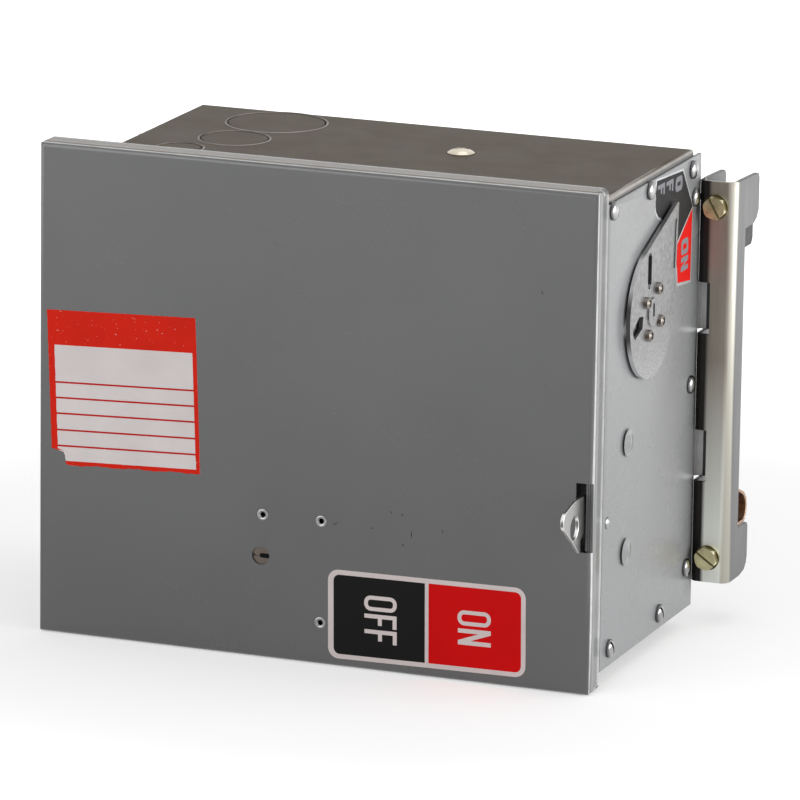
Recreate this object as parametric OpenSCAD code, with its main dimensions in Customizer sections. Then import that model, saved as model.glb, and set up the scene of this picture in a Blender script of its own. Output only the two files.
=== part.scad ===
// Busway tap off box: a fused 60 A switch box that hangs on a plug-in busway.
// Origin: middle of the stab base's face, where it meets the busway.
// +X to the operating side, +Y into the busway, +Z up. Millimetres.

/* [Sheet metal] */
// Thickness of the painted steel sheet
sheet = 1.6; // [1.2:0.1:2.5]
// Outer radius of the sheet's bends
bend_r = 3; // [2.6:0.1:4]

/* [Cover] */
// Width of the front cover
cover_w = 297; // [290:1:310]
// Height of the front cover
cover_h = 254; // [250:1:270]
// Depth of the cover's folded rim
cover_rim = 13.5; // [12:0.5:16]
// Gap between the cover's back and the body's front edge
cover_gap = 1.4; // [1:0.1:2.5]
// Height of the slot that the padlock latch comes through
slot_h = 35; // [33:0.5:38]
// Width of that slot
slot_w = 7.4; // [7:0.1:8]

/* [Body] */
// Width over both end plates
body_w = 273; // [268:1:276]
// Height of the body
body_h = 242; // [240:1:244]
// Depth of the body shell
body_d = 145; // [140:1:155]
// Distance from the body's back to the busway's face
seat_gap = 17; // [16:0.5:20]
// Width of the folded flanges that the end plates sit on
flange_w = 12; // [10:0.5:14]
// How far the end plates' edges stay below the body's top and bottom
plate_margin = 3; // [2:0.5:5]
// How far the end plates reach past the body's back
plate_lap = 5.5; // [3:0.5:7]
// Depth of the folded lip along the body's front edges
lip_w = 9; // [6:0.5:10]

/* [Knockouts] */
// Radius of the large conduit knockout
ko_large_r = 25.2; // [22:0.1:26]
// Radius of the medium conduit knockout
ko_medium_r = 17.4; // [14:0.1:18]
// Radius of the small conduit knockout
ko_small_r = 11.1; // [9:0.1:12]
// Width of the punched groove round a knockout
ko_groove = 0.6; // [0.4:0.1:1]
// Width of the tie that holds a knockout in place
ko_tie = 4; // [2:0.5:6]

/* [Hinge] */
// Radius of the hinge pins
hinge_pin_r = 2.4; // [2:0.1:2.8]
// Wall of the hinge knuckles round the pin
knuckle_wall = 1.6; // [1.2:0.1:1.8]
// Distance of the hinge pins from the cover's left edge
hinge_inset = 10; // [9:0.5:12]
// Height of each hinge above or below the middle
hinge_z = 86; // [60:1:95]
// Length of one hinge knuckle
knuckle_l = 12; // [8:1:16]

/* [Dial] */
// Radius of the operating dial
dial_r = 33.6; // [30:0.1:36]
// Thickness of the dial
dial_t = 2.2; // [2:0.1:4]
// Distance from the dial's centre to the pointer's tip
pointer_l = 59.8; // [52:0.1:62]
// Angle of the pointer from upright, towards the back, at off
pointer_a = 37; // [30:1:42]
// Height of the dial's centre above the middle of the box
dial_z = 53; // [48:1:56]
// Distance of the dial's centre from the body's back
dial_back = 75; // [70:1:80]
// Radius of the four studs on the dial
stud_r = 3; // [2:0.1:3.5]
// Distance of the studs from the dial's centre
stud_pitch_r = 12.6; // [12:0.1:14]
// Radius of the operating shaft
shaft_r = 5; // [4:0.1:6]

/* [Switch] */
// Distance between the poles
pole_pitch = 46; // [44:1:48]
// Distance of the middle pole from the operating side
pole_x = 100.5; // [98:0.5:103]
// Radius from the shaft's axis to the blade's tip
blade_r = 48; // [46:0.5:50]
// Thickness of a switch blade
blade_t = 3; // [2:0.1:4]
// Width of a switch blade
blade_w = 9; // [7:0.5:10]
// Angle of the blades from upright at off
blade_a = 22; // [20:1:24]
// Turn of the switch from off to on
throw_a = 38; // [34:1:40]
// Radius from the shaft's axis to the crossbar's middle
bar_r = 22; // [21:0.5:23]
// Side of the square crossbar
bar_s = 14; // [13:0.5:15]
// Thickness of the moulded switch base
base_t = 16; // [12:0.5:20]
// Height of the feet behind the switch base
base_foot = 9.4; // [9:0.1:11]

/* [Fuses] */
// Radius of a fuse's end cap
fuse_r = 13.5; // [10:0.1:14]
// Length of a fuse
fuse_l = 140; // [120:1:142]
// Length of a fuse's end cap
cap_l = 22; // [16:1:26]
// Thickness of the fuse clips
clip_t = 1.4; // [1:0.1:2]
// Height of the fuse's bottom end above the body's floor
fuse_foot = 7; // [5:0.5:10]

/* [Stabs] */
// Distance between the busway contacts
stab_pitch = 30; // [28:0.5:32]
// Gap between a contact's two fingers
stab_gap = 6.4; // [5:0.1:7]
// Thickness of a contact finger
finger_t = 2; // [1.5:0.1:2.5]
// Width of a contact finger
finger_w = 20; // [16:1:24]
// How far the fingers reach into the busway
finger_l = 22; // [18:1:24]
// Width of the moulded stab base
stab_base_w = 68; // [60:1:76]
// Height of the moulded stab base
stab_base_h = 124; // [120:1:132]

/* [Hanger channels] */
// Width of a channel
channel_w = 20; // [19:0.5:22]
// Thickness of the channel's steel
channel_t = 2.5; // [2:0.1:3]
// Outer radius of the channel's bends
channel_r = 5; // [4:0.1:5.5]
// Gap between a channel and the end plate beside it
channel_gap = 0.5; // [0.4:0.1:3]
// Height of a channel
channel_h = 209; // [200:1:215]
// How far the upper ears reach past the busway's face
ear_l = 21; // [19:0.5:24]
// How far the lower ears reach past it
lower_ear_l = 16; // [14:0.5:18]
// Height of an ear
ear_h = 26; // [22:0.5:30]
// Height of the clamp bolts above and below the middle
bolt_z = 91.5; // [88:0.5:94]
// Distance of the clamp bolts' axes from a channel's inner side
bolt_inset = 9.1; // [8.5:0.1:10]
// Radius of a clamp bolt's shank
bolt_r = 3.1; // [2.5:0.1:3.5]
// Height of a hanger strap
strap_h = 25; // [20:0.5:26]
// Thickness of a hanger strap
strap_t = 3; // [2:0.1:4]
// Height of the hanger straps above and below the middle
strap_z = 38.5; // [36:0.5:42]

/* [Padlock latch] */
// Thickness of the latch plate
latch_t = 1.8; // [1.5:0.1:2]
// Radius of the padlock hole
lock_r = 6; // [4.5:0.1:6.5]
// Height of the padlock hole, from the middle of the box
latch_z = -38.4; // [-42:0.1:-34]
// Distance of the latch's pivot behind the cover's face
pivot_back = 21.4; // [20:0.1:24]

/* [Interlock] */
// Radius of the interlock screw's head in the cover
lock_screw_r = 4.6; // [4:0.1:5]

/* [Fasteners] */
// Radius of the end plates' screw heads
head_r = 4.7; // [4:0.1:4.8]
// Height of those heads
head_h = 2.8; // [1.8:0.1:3]
// Radius of those screws' shanks
screw_r = 2.1; // [1.6:0.1:2.4]
// Free space between a pin or shaft and its hole
fit = 0.06; // [0.02:0.01:0.1]
// Free space beside a sliding or swinging piece
clear = 0.4; // [0.3:0.1:0.8]

/* [Hidden] */
$fn = 48;

// ---- Planes and places worked out from the sizes above ----
cut = 1;                                        // how far a cutting shape runs past a face
y_back = -seat_gap;                             // outer face of the body's back
y_front = y_back - body_d;                      // front edge of the body
y_cover = y_front - cover_gap - sheet;          // front face of the cover
y_cover_in = y_cover + sheet;                   // back face of the cover's panel
y_wall = y_back - sheet;                        // inner face of the body's back
x_side = body_w / 2;                            // outer face of the end plates
x_wall = x_side - sheet;                        // outer face of the shell's end flanges
x_cover = x_side - cover_w;                     // left edge of the cover
z_top = body_h / 2;                             // top of the body
z_floor = -z_top + sheet;                       // inner face of the body's floor
plate_z = z_top - plate_margin;                 // half height of the end plates
plate_front = y_cover + cover_rim + 1;          // front edge of the right end plate
plate_rear = y_back + plate_lap;                // rear edge of the end plates

// ---- Dial and switch ----
dial_y = y_back - dial_back;                    // the dial's axis
dial_gap = 1.3;                                 // gap between the dial and the end plate
dial_x = x_side + dial_gap;
dial_skin = 1.4;                                // thickness of the dial's face
shaft_seat = 1.4;                               // how deep the shaft sits in the dial
dial_hub_r = stud_pitch_r + stud_r + 1.5;       // solid hub that carries the studs
bush_r = shaft_r + 3;                           // outside of the shaft's bushing
frame_x = x_wall - 27;                          // inner face of the mechanism frame
frame_t = 2;
frame_h = 2 * (bar_r + bar_s / 2 + 6);
crank_t = 6;
crank_x = frame_x - 2 - crank_t;                // inner face of the drive crank
pole_mid = x_side - pole_x;                     // where the middle pole stands
bar_x0 = pole_mid - 1.5 * pole_pitch + 3;       // left end of the crossbar
bar_x1 = crank_x + crank_t;
bar_pin_r = 3;
guide_back = 14;                                // how far in front of the crossbar's end pin the guide pins stand
base_front = y_wall - base_foot - base_t;       // front face of the switch base
base_x0 = bar_x0 - 20;                          // left side of the switch base
base_x1 = frame_x - 3;
base_z = 112;
hinge_hole_r = 2.5;                             // pins that the blades turn on
jaw_clear = 0.15;                               // gap between a blade and a line jaw
jaw_t = 2;
jaw_h = 2.4 * blade_w;                          // height of a line jaw
jaw_d = 2 * blade_w;                            // depth of a line jaw
on_a = blade_a + throw_a;                       // angle of the blades at on
tip_on = [dial_y + blade_r * sin(on_a), dial_z + blade_r * cos(on_a)];

// ---- Fuses ----
fuse_z0 = z_floor + fuse_foot;
fuse_z1 = fuse_z0 + fuse_l;
clip_h = 16;
clip_base = 2;                                  // thickness of the clips' copper feet
fuse_y = base_front - clip_base - 4 - fuse_r;
tube_r = fuse_r - 0.8;
clip_margin = (cap_l - clip_h) / 2;             // end cap left bare beyond its clip
lug_dx = pole_pitch / 2;                        // a load lug stands beside its clip
lug_w = 12;
lug_d = 14;

// ---- Stabs and straps at the back ----
stab_z = [for (k = [0 : 3]) (1.5 - k) * stab_pitch];
level_gap = 1.4;                                // gap between the levels of the line straps
line_t = 1.5;
stem_h = stab_gap - 0.4;
stem_w = finger_w - 4;
rib_l = finger_l + 2;
rib_w = stab_base_w / 2;

// ---- Hanger channels ----
chan_x0 = x_side + channel_gap;                 // inner side of the right channel
chan_x1 = chan_x0 + channel_w;
chan_y = y_back + 2;                            // front face of the channels
chan_z = channel_h / 2;
bolt_x = chan_x0 + bolt_inset;
jaw_x0 = chan_x0 + channel_t + clear;
jaw_x1 = chan_x1 - channel_t - clear;
ear_z = chan_z - ear_h;                         // edge of the ears towards the middle
bolt_head_r = 6.35;
bolt_head_h = 4.2;
bolt_end = 14;                                  // how far back the bolts' shanks end
jaw_foot = 11;                                  // how far a clamp jaw reaches from its bolt towards the middle
jaw_nose = 25;                                  // how far an upper jaw's nose does
notch_w = 4.4;                                  // how far the strap notches cut into the web
strap_lift = 10.5;                              // step from the body's back to the strap's end

// ---- Cover hinge ----
knuckle_r = hinge_pin_r + fit + knuckle_wall;
hinge_x = x_cover + hinge_inset;
hinge_y = y_cover_in + knuckle_r + 0.2;
knuckle_gap = 0.4;
leaf_t = 1.6;

// ---- Latch and interlock ----
latch_x1 = x_wall - 3.5;                        // right face of the latch plate
latch_x0 = latch_x1 - latch_t;
lock_y = y_cover - 12.1;                        // centre of the padlock hole
pivot_y = y_cover + pivot_back;
pivot_z = latch_z - 4.9;
pivot_r = 2.4;
slot_top = latch_z + 19.6;
lock_x = bar_x0 - 9;                            // interlock screw in the cover
lock_z = z_floor + lip_w + 36.4;
eyelets = [[lock_x + 1, lock_z + 21.3], [lock_x + 32.4, lock_z + 21.3], [lock_x + 32.4, lock_z - 31.1]];
eyelet_r = 2.2;
eyelet_hole_r = 1.2;
bracket_t = 1.6;
cam_t = 2;
cam_y = y_cover_in + bracket_t + 5.8;           // front face of the interlock cam
cam_h = 5;
slider_t = 3;
slider_x0 = bar_x0 - 5;
slider_x1 = slider_x0 + slider_t;

// ======== Helpers ========
// Extrude a (y, z) outline from x0 to x1
module along_x(x0, x1) {
    translate([x0, 0, 0]) rotate([90, 0, 90]) linear_extrude(x1 - x0) children();
}

// Extrude an (x, z) outline from y0 to y1
module along_y(y0, y1) {
    translate([0, y1, 0]) rotate([90, 0, 0]) linear_extrude(y1 - y0) children();
}

// Extrude an (x, y) outline from z0 to z1
module along_z(z0, z1) {
    translate([0, 0, z0]) linear_extrude(z1 - z0) children();
}

module block(a, b) {
    translate(a) cube(b - a);
}

// Cylinders along the three axes, from one plane to another
module rod_x(x0, x1, y, z, r) {
    translate([x0, y, z]) rotate([0, 90, 0]) cylinder(h = x1 - x0, r = r);
}

module rod_y(y0, y1, x, z, r) {
    translate([x, y1, z]) rotate([90, 0, 0]) cylinder(h = y1 - y0, r = r);
}

module rod_z(z0, z1, x, y, r) {
    translate([x, y, z0]) cylinder(h = z1 - z0, r = r);
}

module round_rect(x0, y0, x1, y1, r) {
    translate([x0 + r, y0]) square([x1 - x0 - 2 * r, y1 - y0]);
    translate([x0, y0 + r]) square([x1 - x0, y1 - y0 - 2 * r]);
    for (x = [x0 + r, x1 - r], y = [y0 + r, y1 - r]) translate([x, y]) circle(r);
}

// A box whose twelve edges are rounded like folded sheet
module soft_box(a, b, r) {
    intersection() {
        along_x(a.x, b.x) round_rect(a.y, a.z, b.y, b.z, r);
        along_y(a.y, b.y) round_rect(a.x, a.z, b.x, b.z, r);
        along_z(a.z, b.z) round_rect(a.x, a.y, b.x, b.y, r);
    }
}

// A low dome on the XY plane
module dome(r, h) {
    ball = (r * r + h * h) / (2 * h);
    intersection() {
        translate([0, 0, h - ball]) sphere(ball, $fn = 64);
        cylinder(h = h + cut, r = r + cut);
    }
}

// Both sides of the middle plane x = 0
module both_sides() {
    children();
    mirror([1, 0, 0]) children();
}

// ======== Body ========
// Where the end plates are screwed to the shell: [y, z] on the plate
plate_screws = [
    [plate_front + 5.2, plate_z - 3.5], [dial_y + 1.5, plate_z - 4], [plate_rear - 14, plate_z - 6],
    [plate_rear - 9.5, plate_z - 21], [plate_rear - 10, 0], [plate_rear - 10.5, 22 - plate_z],
    [plate_rear - 51, 8 - plate_z], [plate_front + 13, 9 - plate_z]
];
slotted_from = 6;    // the bottom screws have a driver slot
ko_large_at = [55.7 - x_side, y_back - 3.7 - ko_large_r];
ko_medium_at = [ko_large_at.x - 4.6, ko_large_at.y - ko_large_r - 2.8 - ko_medium_r];
ko_small_at = [ko_medium_at.x - 16.1, ko_medium_at.y - ko_medium_r - 3.8 - ko_small_r];
bond_at = [x_side - 105, y_back - 60];          // bonding screw in the top
stem_window = [stem_w / 2 + 4, 1.5 * stab_pitch + stem_h / 2 + 4];

// A knockout: a punched ring with two ties, cut through the top
module ko_cut(at, r) {
    translate([at.x, at.y, z_top - sheet - cut]) linear_extrude(sheet + 2 * cut) difference() {
        circle(r, $fn = 72);
        circle(r - ko_groove, $fn = 72);
        rotate(-20) square([3 * r, ko_tie], center = true);
    }
}

module screw_holes_x(x0, x1) {
    for (p = plate_screws) rod_x(x0 - cut, x1 + cut, p.x, p.y, screw_r + fit);
}

module body_shell() {
    relief = plate_front;
    color([0.44, 0.42, 0.40]) difference() {
        soft_box([-x_wall, y_front - bend_r, -z_top], [x_wall, y_back, z_top], bend_r);
        // the inside, open to the front
        difference() {
            soft_box([sheet - x_wall, y_front - bend_r - cut, z_floor], [x_wall - sheet, y_wall, -z_floor],
                     bend_r - sheet);
            // folded lips along the top and bottom front edges
            for (s = [-1, 1])
                block([-x_wall, y_front, s > 0 ? -z_floor - lip_w : z_floor - cut],
                      [x_wall, y_front + sheet, s > 0 ? -z_floor + cut : z_floor + lip_w]);
        }
        block([-x_wall - cut, y_front - bend_r - cut, -z_top - cut], [x_wall + cut, y_front, z_top + cut]);
        // windows that the end plates close, with a flange left round them
        block([-x_wall - cut, y_front - cut, -z_top + flange_w],
              [x_wall + cut, y_back - flange_w, z_top - flange_w]);
        // the front corners stay clear of the cover's rim
        for (s = [-1, 1])
            block([s > 0 ? x_wall - sheet - clear : -x_wall - cut, y_front - cut, -z_top - cut],
                  [s > 0 ? x_wall + cut : sheet + clear - x_wall, relief, z_top + cut]);
        ko_cut(ko_large_at, ko_large_r);
        ko_cut(ko_medium_at, ko_medium_r);
        ko_cut(ko_small_at, ko_small_r);
        rod_z(z_top - sheet - cut, z_top + cut, bond_at.x, bond_at.y, screw_r + fit);
        // window behind the busway contacts
        block([-stem_window.x, y_wall - cut, -stem_window.y], [stem_window.x, y_back + cut, stem_window.y]);
        for (p = concat(stab_screw_at, base_screw_at))
            rod_y(y_wall - cut, y_back + cut, p.x, p.y, screw_r + fit);
        both_sides() screw_holes_x(x_wall - sheet, x_wall);
    }
}

// Bushing hole, pivot hole and pressed dimple are on the operating side only
module right_end_plate() {
    fold = 14;
    color([0.66, 0.67, 0.68]) difference() {
        union() {
            block([x_wall, plate_front, -plate_z], [x_side, plate_rear, plate_z]);
            // stiffening fold along the front edge
            block([x_side - fold, plate_front, 14 - plate_z], [x_side, plate_front + sheet, plate_z - 14]);
            translate([x_side, pivot_y + 27, pivot_z - 21.2]) rotate([0, 90, 0]) dome(4, 1.2);
        }
        // the padlock latch passes the fold here
        block([latch_x0 - 1.5, plate_front - cut, pivot_z - 14],
              [x_wall, plate_front + sheet + cut, pivot_z + 27]);
        rod_x(x_wall - cut, x_side + cut, dial_y, dial_z, bush_r + fit);
        rod_x(x_wall - cut, x_side + cut, pivot_y, pivot_z, pivot_r + fit);
        screw_holes_x(x_wall, x_side);
    }
}

module left_end_plate() {
    hinge_rivets = [for (s = [-1, 1], d = [12, 20]) [hinge_y + d, s * hinge_z]];
    color([0.66, 0.67, 0.68]) difference() {
        block([-x_side, y_front, -plate_z], [-x_wall, plate_rear, plate_z]);
        mirror([1, 0, 0]) screw_holes_x(x_wall, x_side);
        for (p = hinge_rivets) rod_x(-x_side - cut, cut - x_wall, p.x, p.y, screw_r + fit);
    }
}

// A pan head on the XY plane: a straight rim under a dome
module pan_head(r, h) {
    rim = 0.3 * h;
    rotate_extrude($fn = 48) polygon(concat(
        [[0, 0], [r, 0]],
        [for (k = [0 : 8]) [r * cos(k * 90 / 8), rim + (h - rim) * sin(k * 90 / 8)]]
    ));
}

// A screw along +X with its head outside the plate and its thread's end inside
module plate_screw(p, slot) {
    rod_x(x_wall - sheet - 3, x_side + 0.1, p.x, p.y, screw_r);
    difference() {
        translate([x_side, p.x, p.y]) rotate([0, 90, 0]) pan_head(head_r, head_h);
        if (slot) translate([x_side + head_h, p.x, p.y]) rotate([25, 0, 0])
            cube([head_h, 1.1, 3 * head_r], center = true);
    }
}

module end_plate_screws() {
    color([0.72, 0.72, 0.72]) both_sides()
        for (k = [0 : len(plate_screws) - 1]) plate_screw(plate_screws[k], k >= slotted_from);
}

// Rivets that hold the hinge leaves to the left end plate
module end_plate_rivets() {
    color([0.7, 0.7, 0.7]) for (s = [-1, 1], d = [12, 20]) {
        rod_x(-x_side - leaf_t - 0.1, 1 - x_wall, hinge_y + d, s * hinge_z, screw_r);
        translate([-x_side - leaf_t, hinge_y + d, s * hinge_z]) rotate([0, -90, 0]) dome(3.4, 1.2);
        rod_x(-x_wall, 1 - x_wall, hinge_y + d, s * hinge_z, 3.2);
    }
}

module bonding_screw() {
    color([0.75, 0.66, 0.45]) {
        translate([bond_at.x, bond_at.y, z_top]) difference() {
            dome(7.35, 2.6);
            translate([0, 0, 2.6]) rotate(25) cube([20, 1.2, 1.6], center = true);
        }
        rod_z(z_top - sheet - 7, z_top + 0.1, bond_at.x, bond_at.y, screw_r);
        rod_z(z_top - sheet - 3, z_top - sheet, bond_at.x, bond_at.y, 4.5);
    }
}

// ======== Cover and hinge ========
module cover() {
    rim_y = y_cover + cover_rim;
    color([0.45, 0.46, 0.46]) difference() {
        soft_box([x_cover, y_cover, -cover_h / 2], [x_side, rim_y + bend_r, cover_h / 2], bend_r);
        soft_box([x_cover + sheet, y_cover_in, sheet - cover_h / 2],
                 [x_wall, rim_y + bend_r + cut, cover_h / 2 - sheet], bend_r - sheet);
        block([x_cover - cut, rim_y, -cover_h / 2 - cut],
              [x_side + cut, rim_y + bend_r + 2 * cut, cover_h / 2 + cut]);
        // slot for the padlock latch
        block([x_wall - slot_w, y_cover - cut, slot_top - slot_h], [x_wall, y_cover_in + cut, slot_top]);
        block([x_wall - cut, y_cover - cut, slot_top - slot_h], [x_side + cut, y_cover_in + 0.2, slot_top]);
        rod_y(y_cover - cut, y_cover_in + cut, lock_x, lock_z, lock_screw_r + fit);
        for (p = eyelets) rod_y(y_cover - cut, y_cover_in + cut, p.x, p.y, eyelet_r + fit);
    }
}

module cover_hinge_leaves() {
    leaf_x0 = x_cover + bend_r + clear;
    leaf_x1 = -x_side - 1;
    window = knuckle_r + 1;
    color([0.62, 0.62, 0.60]) for (s = [-1, 1]) translate([0, 0, s * hinge_z]) difference() {
        union() {
            block([leaf_x0, y_cover_in, -1.5 * knuckle_l], [leaf_x1, y_cover_in + leaf_t, 1.5 * knuckle_l]);
            for (k = [-1, 1]) rod_z(k * knuckle_l - knuckle_l / 2, k * knuckle_l + knuckle_l / 2,
                                    hinge_x, hinge_y, knuckle_r);
        }
        // room for the body's knuckle between the cover's two
        block([hinge_x - window, y_cover_in - cut, -knuckle_l / 2 - knuckle_gap],
              [hinge_x + window, hinge_y + window, knuckle_l / 2 + knuckle_gap]);
        rod_z(-2 * knuckle_l, 2 * knuckle_l, hinge_x, hinge_y, hinge_pin_r + fit);
    }
}

module body_hinge_leaves() {
    pad_l = 26;
    color([0.62, 0.62, 0.60]) for (s = [-1, 1]) translate([0, 0, s * hinge_z]) difference() {
        union() {
            rod_z(-knuckle_l / 2, knuckle_l / 2, hinge_x, hinge_y, knuckle_r);
            block([hinge_x, hinge_y - leaf_t / 2, -knuckle_l / 2],
                  [-x_side, hinge_y + leaf_t / 2, knuckle_l / 2]);
            block([-x_side - leaf_t, hinge_y - leaf_t / 2, -knuckle_l],
                  [-x_side, hinge_y + pad_l, knuckle_l]);
        }
        rod_z(-knuckle_l, knuckle_l, hinge_x, hinge_y, hinge_pin_r + fit);
        for (d = [12, 20]) rod_x(-x_side - leaf_t - cut, cut - x_side, hinge_y + d, 0, screw_r + fit);
    }
}

module hinge_pins() {
    color([0.75, 0.75, 0.73]) for (s = [-1, 1]) translate([0, 0, s * hinge_z]) {
        rod_z(-1.5 * knuckle_l - 2, 1.5 * knuckle_l, hinge_x, hinge_y, hinge_pin_r);
        rod_z(1.5 * knuckle_l, 1.5 * knuckle_l + 1.5, hinge_x, hinge_y, knuckle_r - 0.4);
    }
}

// ======== Cover interlock ========
module interlock_bracket() {
    y1 = y_cover_in + bracket_t;
    margin = lock_screw_r + 2;
    x0 = lock_x - margin;
    x1 = eyelets[2].x + margin;
    z0 = max(eyelets[2].y - margin, z_floor + lip_w + clear);
    z1 = eyelets[0].y + margin;
    color([0.6, 0.6, 0.58]) difference() {
        union() {
            along_y(y_cover_in, y1) round_rect(x0, z0, x1, z1, 4);
            // stiffening fold along the right edge
            block([x1 - bracket_t, y_cover_in, z0 + 4], [x1, y_cover_in + 10, z1 - 4]);
        }
        rod_y(y_cover_in - cut, y1 + cut, lock_x, lock_z, lock_screw_r + fit);
        for (p = eyelets) rod_y(y_cover_in - cut, y1 + cut, p.x, p.y, eyelet_r + fit);
    }
}

module cover_eyelets() {
    back = y_cover_in + bracket_t;
    color([0.78, 0.78, 0.76]) for (p = eyelets) difference() {
        union() {
            rod_y(y_cover - 0.6, back + 0.6, p.x, p.y, eyelet_r);
            rod_y(y_cover - 0.6, y_cover, p.x, p.y, eyelet_r + 0.9);
            rod_y(back, back + 0.6, p.x, p.y, eyelet_r + 0.9);
        }
        rod_y(y_cover - cut, back + cut + 0.6, p.x, p.y, eyelet_hole_r);
    }
}

// Head in the cover, collar behind the bracket, and the cam that the slider's hook catches
module interlock_screw() {
    back = y_cover_in + bracket_t;
    color([0.72, 0.64, 0.48]) {
        difference() {
            rod_y(y_cover + 0.8, back + 0.1, lock_x, lock_z, lock_screw_r);
            translate([lock_x, y_cover + 0.8, lock_z]) cube([3 * lock_screw_r, 2, 1.3], center = true);
        }
        rod_y(back + 0.05, back + 1.8, lock_x, lock_z, lock_screw_r + 1.4);
        rod_y(back, cam_y + cam_t, lock_x, lock_z, cam_h / 2);
        block([lock_x, cam_y, lock_z - cam_h / 2], [lock_x + 9, cam_y + cam_t, lock_z + cam_h / 2]);
    }
}

// Where the crossbar's end pin stands at off and at on
pin_off = [dial_y + bar_r * sin(blade_a), dial_z + bar_r * cos(blade_a)];
pin_on = [dial_y + bar_r * sin(on_a), dial_z + bar_r * cos(on_a)];
slider_stem = 4 * slider_t;
slider_head = [pin_off.x - guide_back - slider_stem / 2, pin_on.x + 3 * bar_pin_r];
guide_y = pin_off.x - guide_back;
guide_z = [30, -40];
guide_r = 2.5;
slider_travel = pin_off.y - pin_on.y;           // how far the slider drops from off to on
hook_z = lock_z + cam_h / 2 + 3;                // tip of the hook at off

module interlock_slider() {
    hook_y = cam_y - 3.5;
    arm_z = hook_z + 1.6 * cam_h;
    stem = slider_stem;
    color([0.70, 0.70, 0.68]) {
        difference() {
            union() {
                block([slider_x0, slider_head.x, pin_off.y - 11], [slider_x1, slider_head.y, pin_off.y + 11]);
                block([slider_x0, slider_head.x, arm_z], [slider_x1, slider_head.x + stem, pin_off.y]);
                block([slider_x0, hook_y, arm_z], [slider_x1, slider_head.x + stem, arm_z + 10]);
            }
            // slot across for the crossbar's pin
            along_x(slider_x0 - cut, slider_x1 + cut) {
                translate([pin_off.x, pin_off.y - bar_pin_r - 1.2])
                    square([pin_on.x - pin_off.x, 2 * bar_pin_r + 2.4]);
                for (y = [pin_off.x, pin_on.x]) translate([y, pin_off.y]) circle(bar_pin_r + 1.2);
            }
            // slots along for the guide pins
            for (z = guide_z) along_x(slider_x0 - cut, slider_x1 + cut) {
                translate([guide_y - guide_r - fit, z]) square([2 * (guide_r + fit), slider_travel]);
                for (d = [0, slider_travel]) translate([guide_y, z + d]) circle(guide_r + fit);
            }
        }
        // hook bent across in front of the cam
        block([slider_x0, hook_y, arm_z], [slider_x1 + 4.5, hook_y + 2, arm_z + 10]);
        block([slider_x1 - 0.5, hook_y, hook_z], [slider_x1 + 4.5, hook_y + 2, arm_z + 1]);
    }
}

// ======== Padlock latch ========
module padlock_latch() {
    face = y_cover;
    apex = [face - 23.2, latch_z + 5.8];
    hook = [face - 4.4, latch_z - 13];
    color([0.62, 0.64, 0.64]) along_x(latch_x0, latch_x1) difference() {
        union() {
            polygon([
                [pivot_y, pivot_z + 9], [face + 7, latch_z + 12.4], [face - 3, latch_z + 13.2],
                [face - 11, latch_z + 13.2], [face - 18, latch_z + 12], [apex.x - 0.3, apex.y + 4.9],
                [apex.x - 3.2, apex.y - 3.8], [face - 13, latch_z - 8], [hook.x - 1, hook.y - 1.2],
                [hook.x + 1.5, hook.y], [face - 3, latch_z - 8.6], [face + 2, latch_z - 5.9],
                [pivot_y, pivot_z - 9]
            ]);
            translate([pivot_y, pivot_z]) circle(9);
            translate(apex) circle(5);
            translate(hook) circle(1.6);
        }
        translate([lock_y, latch_z]) circle(lock_r, $fn = 64);
        translate([pivot_y, pivot_z]) circle(pivot_r + fit);
    }
}

// Shouldered rivet that the latch turns on
module latch_pivot() {
    color([0.7, 0.7, 0.7]) {
        rod_x(latch_x0 - 1.5, x_side + 0.1, pivot_y, pivot_z, pivot_r);
        rod_x(latch_x0 - 1.5, latch_x0 - 0.1, pivot_y, pivot_z, pivot_r + 2);
        rod_x(latch_x1 + 0.1, x_wall, pivot_y, pivot_z, pivot_r + 2);
        translate([x_side, pivot_y, pivot_z]) rotate([0, 90, 0]) dome(3.2, 1.3);
    }
}

// ======== Dial and shaft ========
// Teardrop outline round the dial's centre, its point towards the pointer's angle
module teardrop(r, l, a) {
    point_r = 1;
    b = acos((r - point_r) / l);
    p = l * [sin(a), cos(a)];
    circle(r, $fn = 96);
    translate(p) circle(point_r);
    polygon([
        r * [sin(a - b), cos(a - b)], p + point_r * [sin(a - b), cos(a - b)],
        p + point_r * [sin(a + b), cos(a + b)], r * [sin(a + b), cos(a + b)]
    ]);
}

stud_at = [for (k = [0 : 3]) stud_pitch_r * [sin(32 + 90 * k), cos(32 + 90 * k)]];

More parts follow.
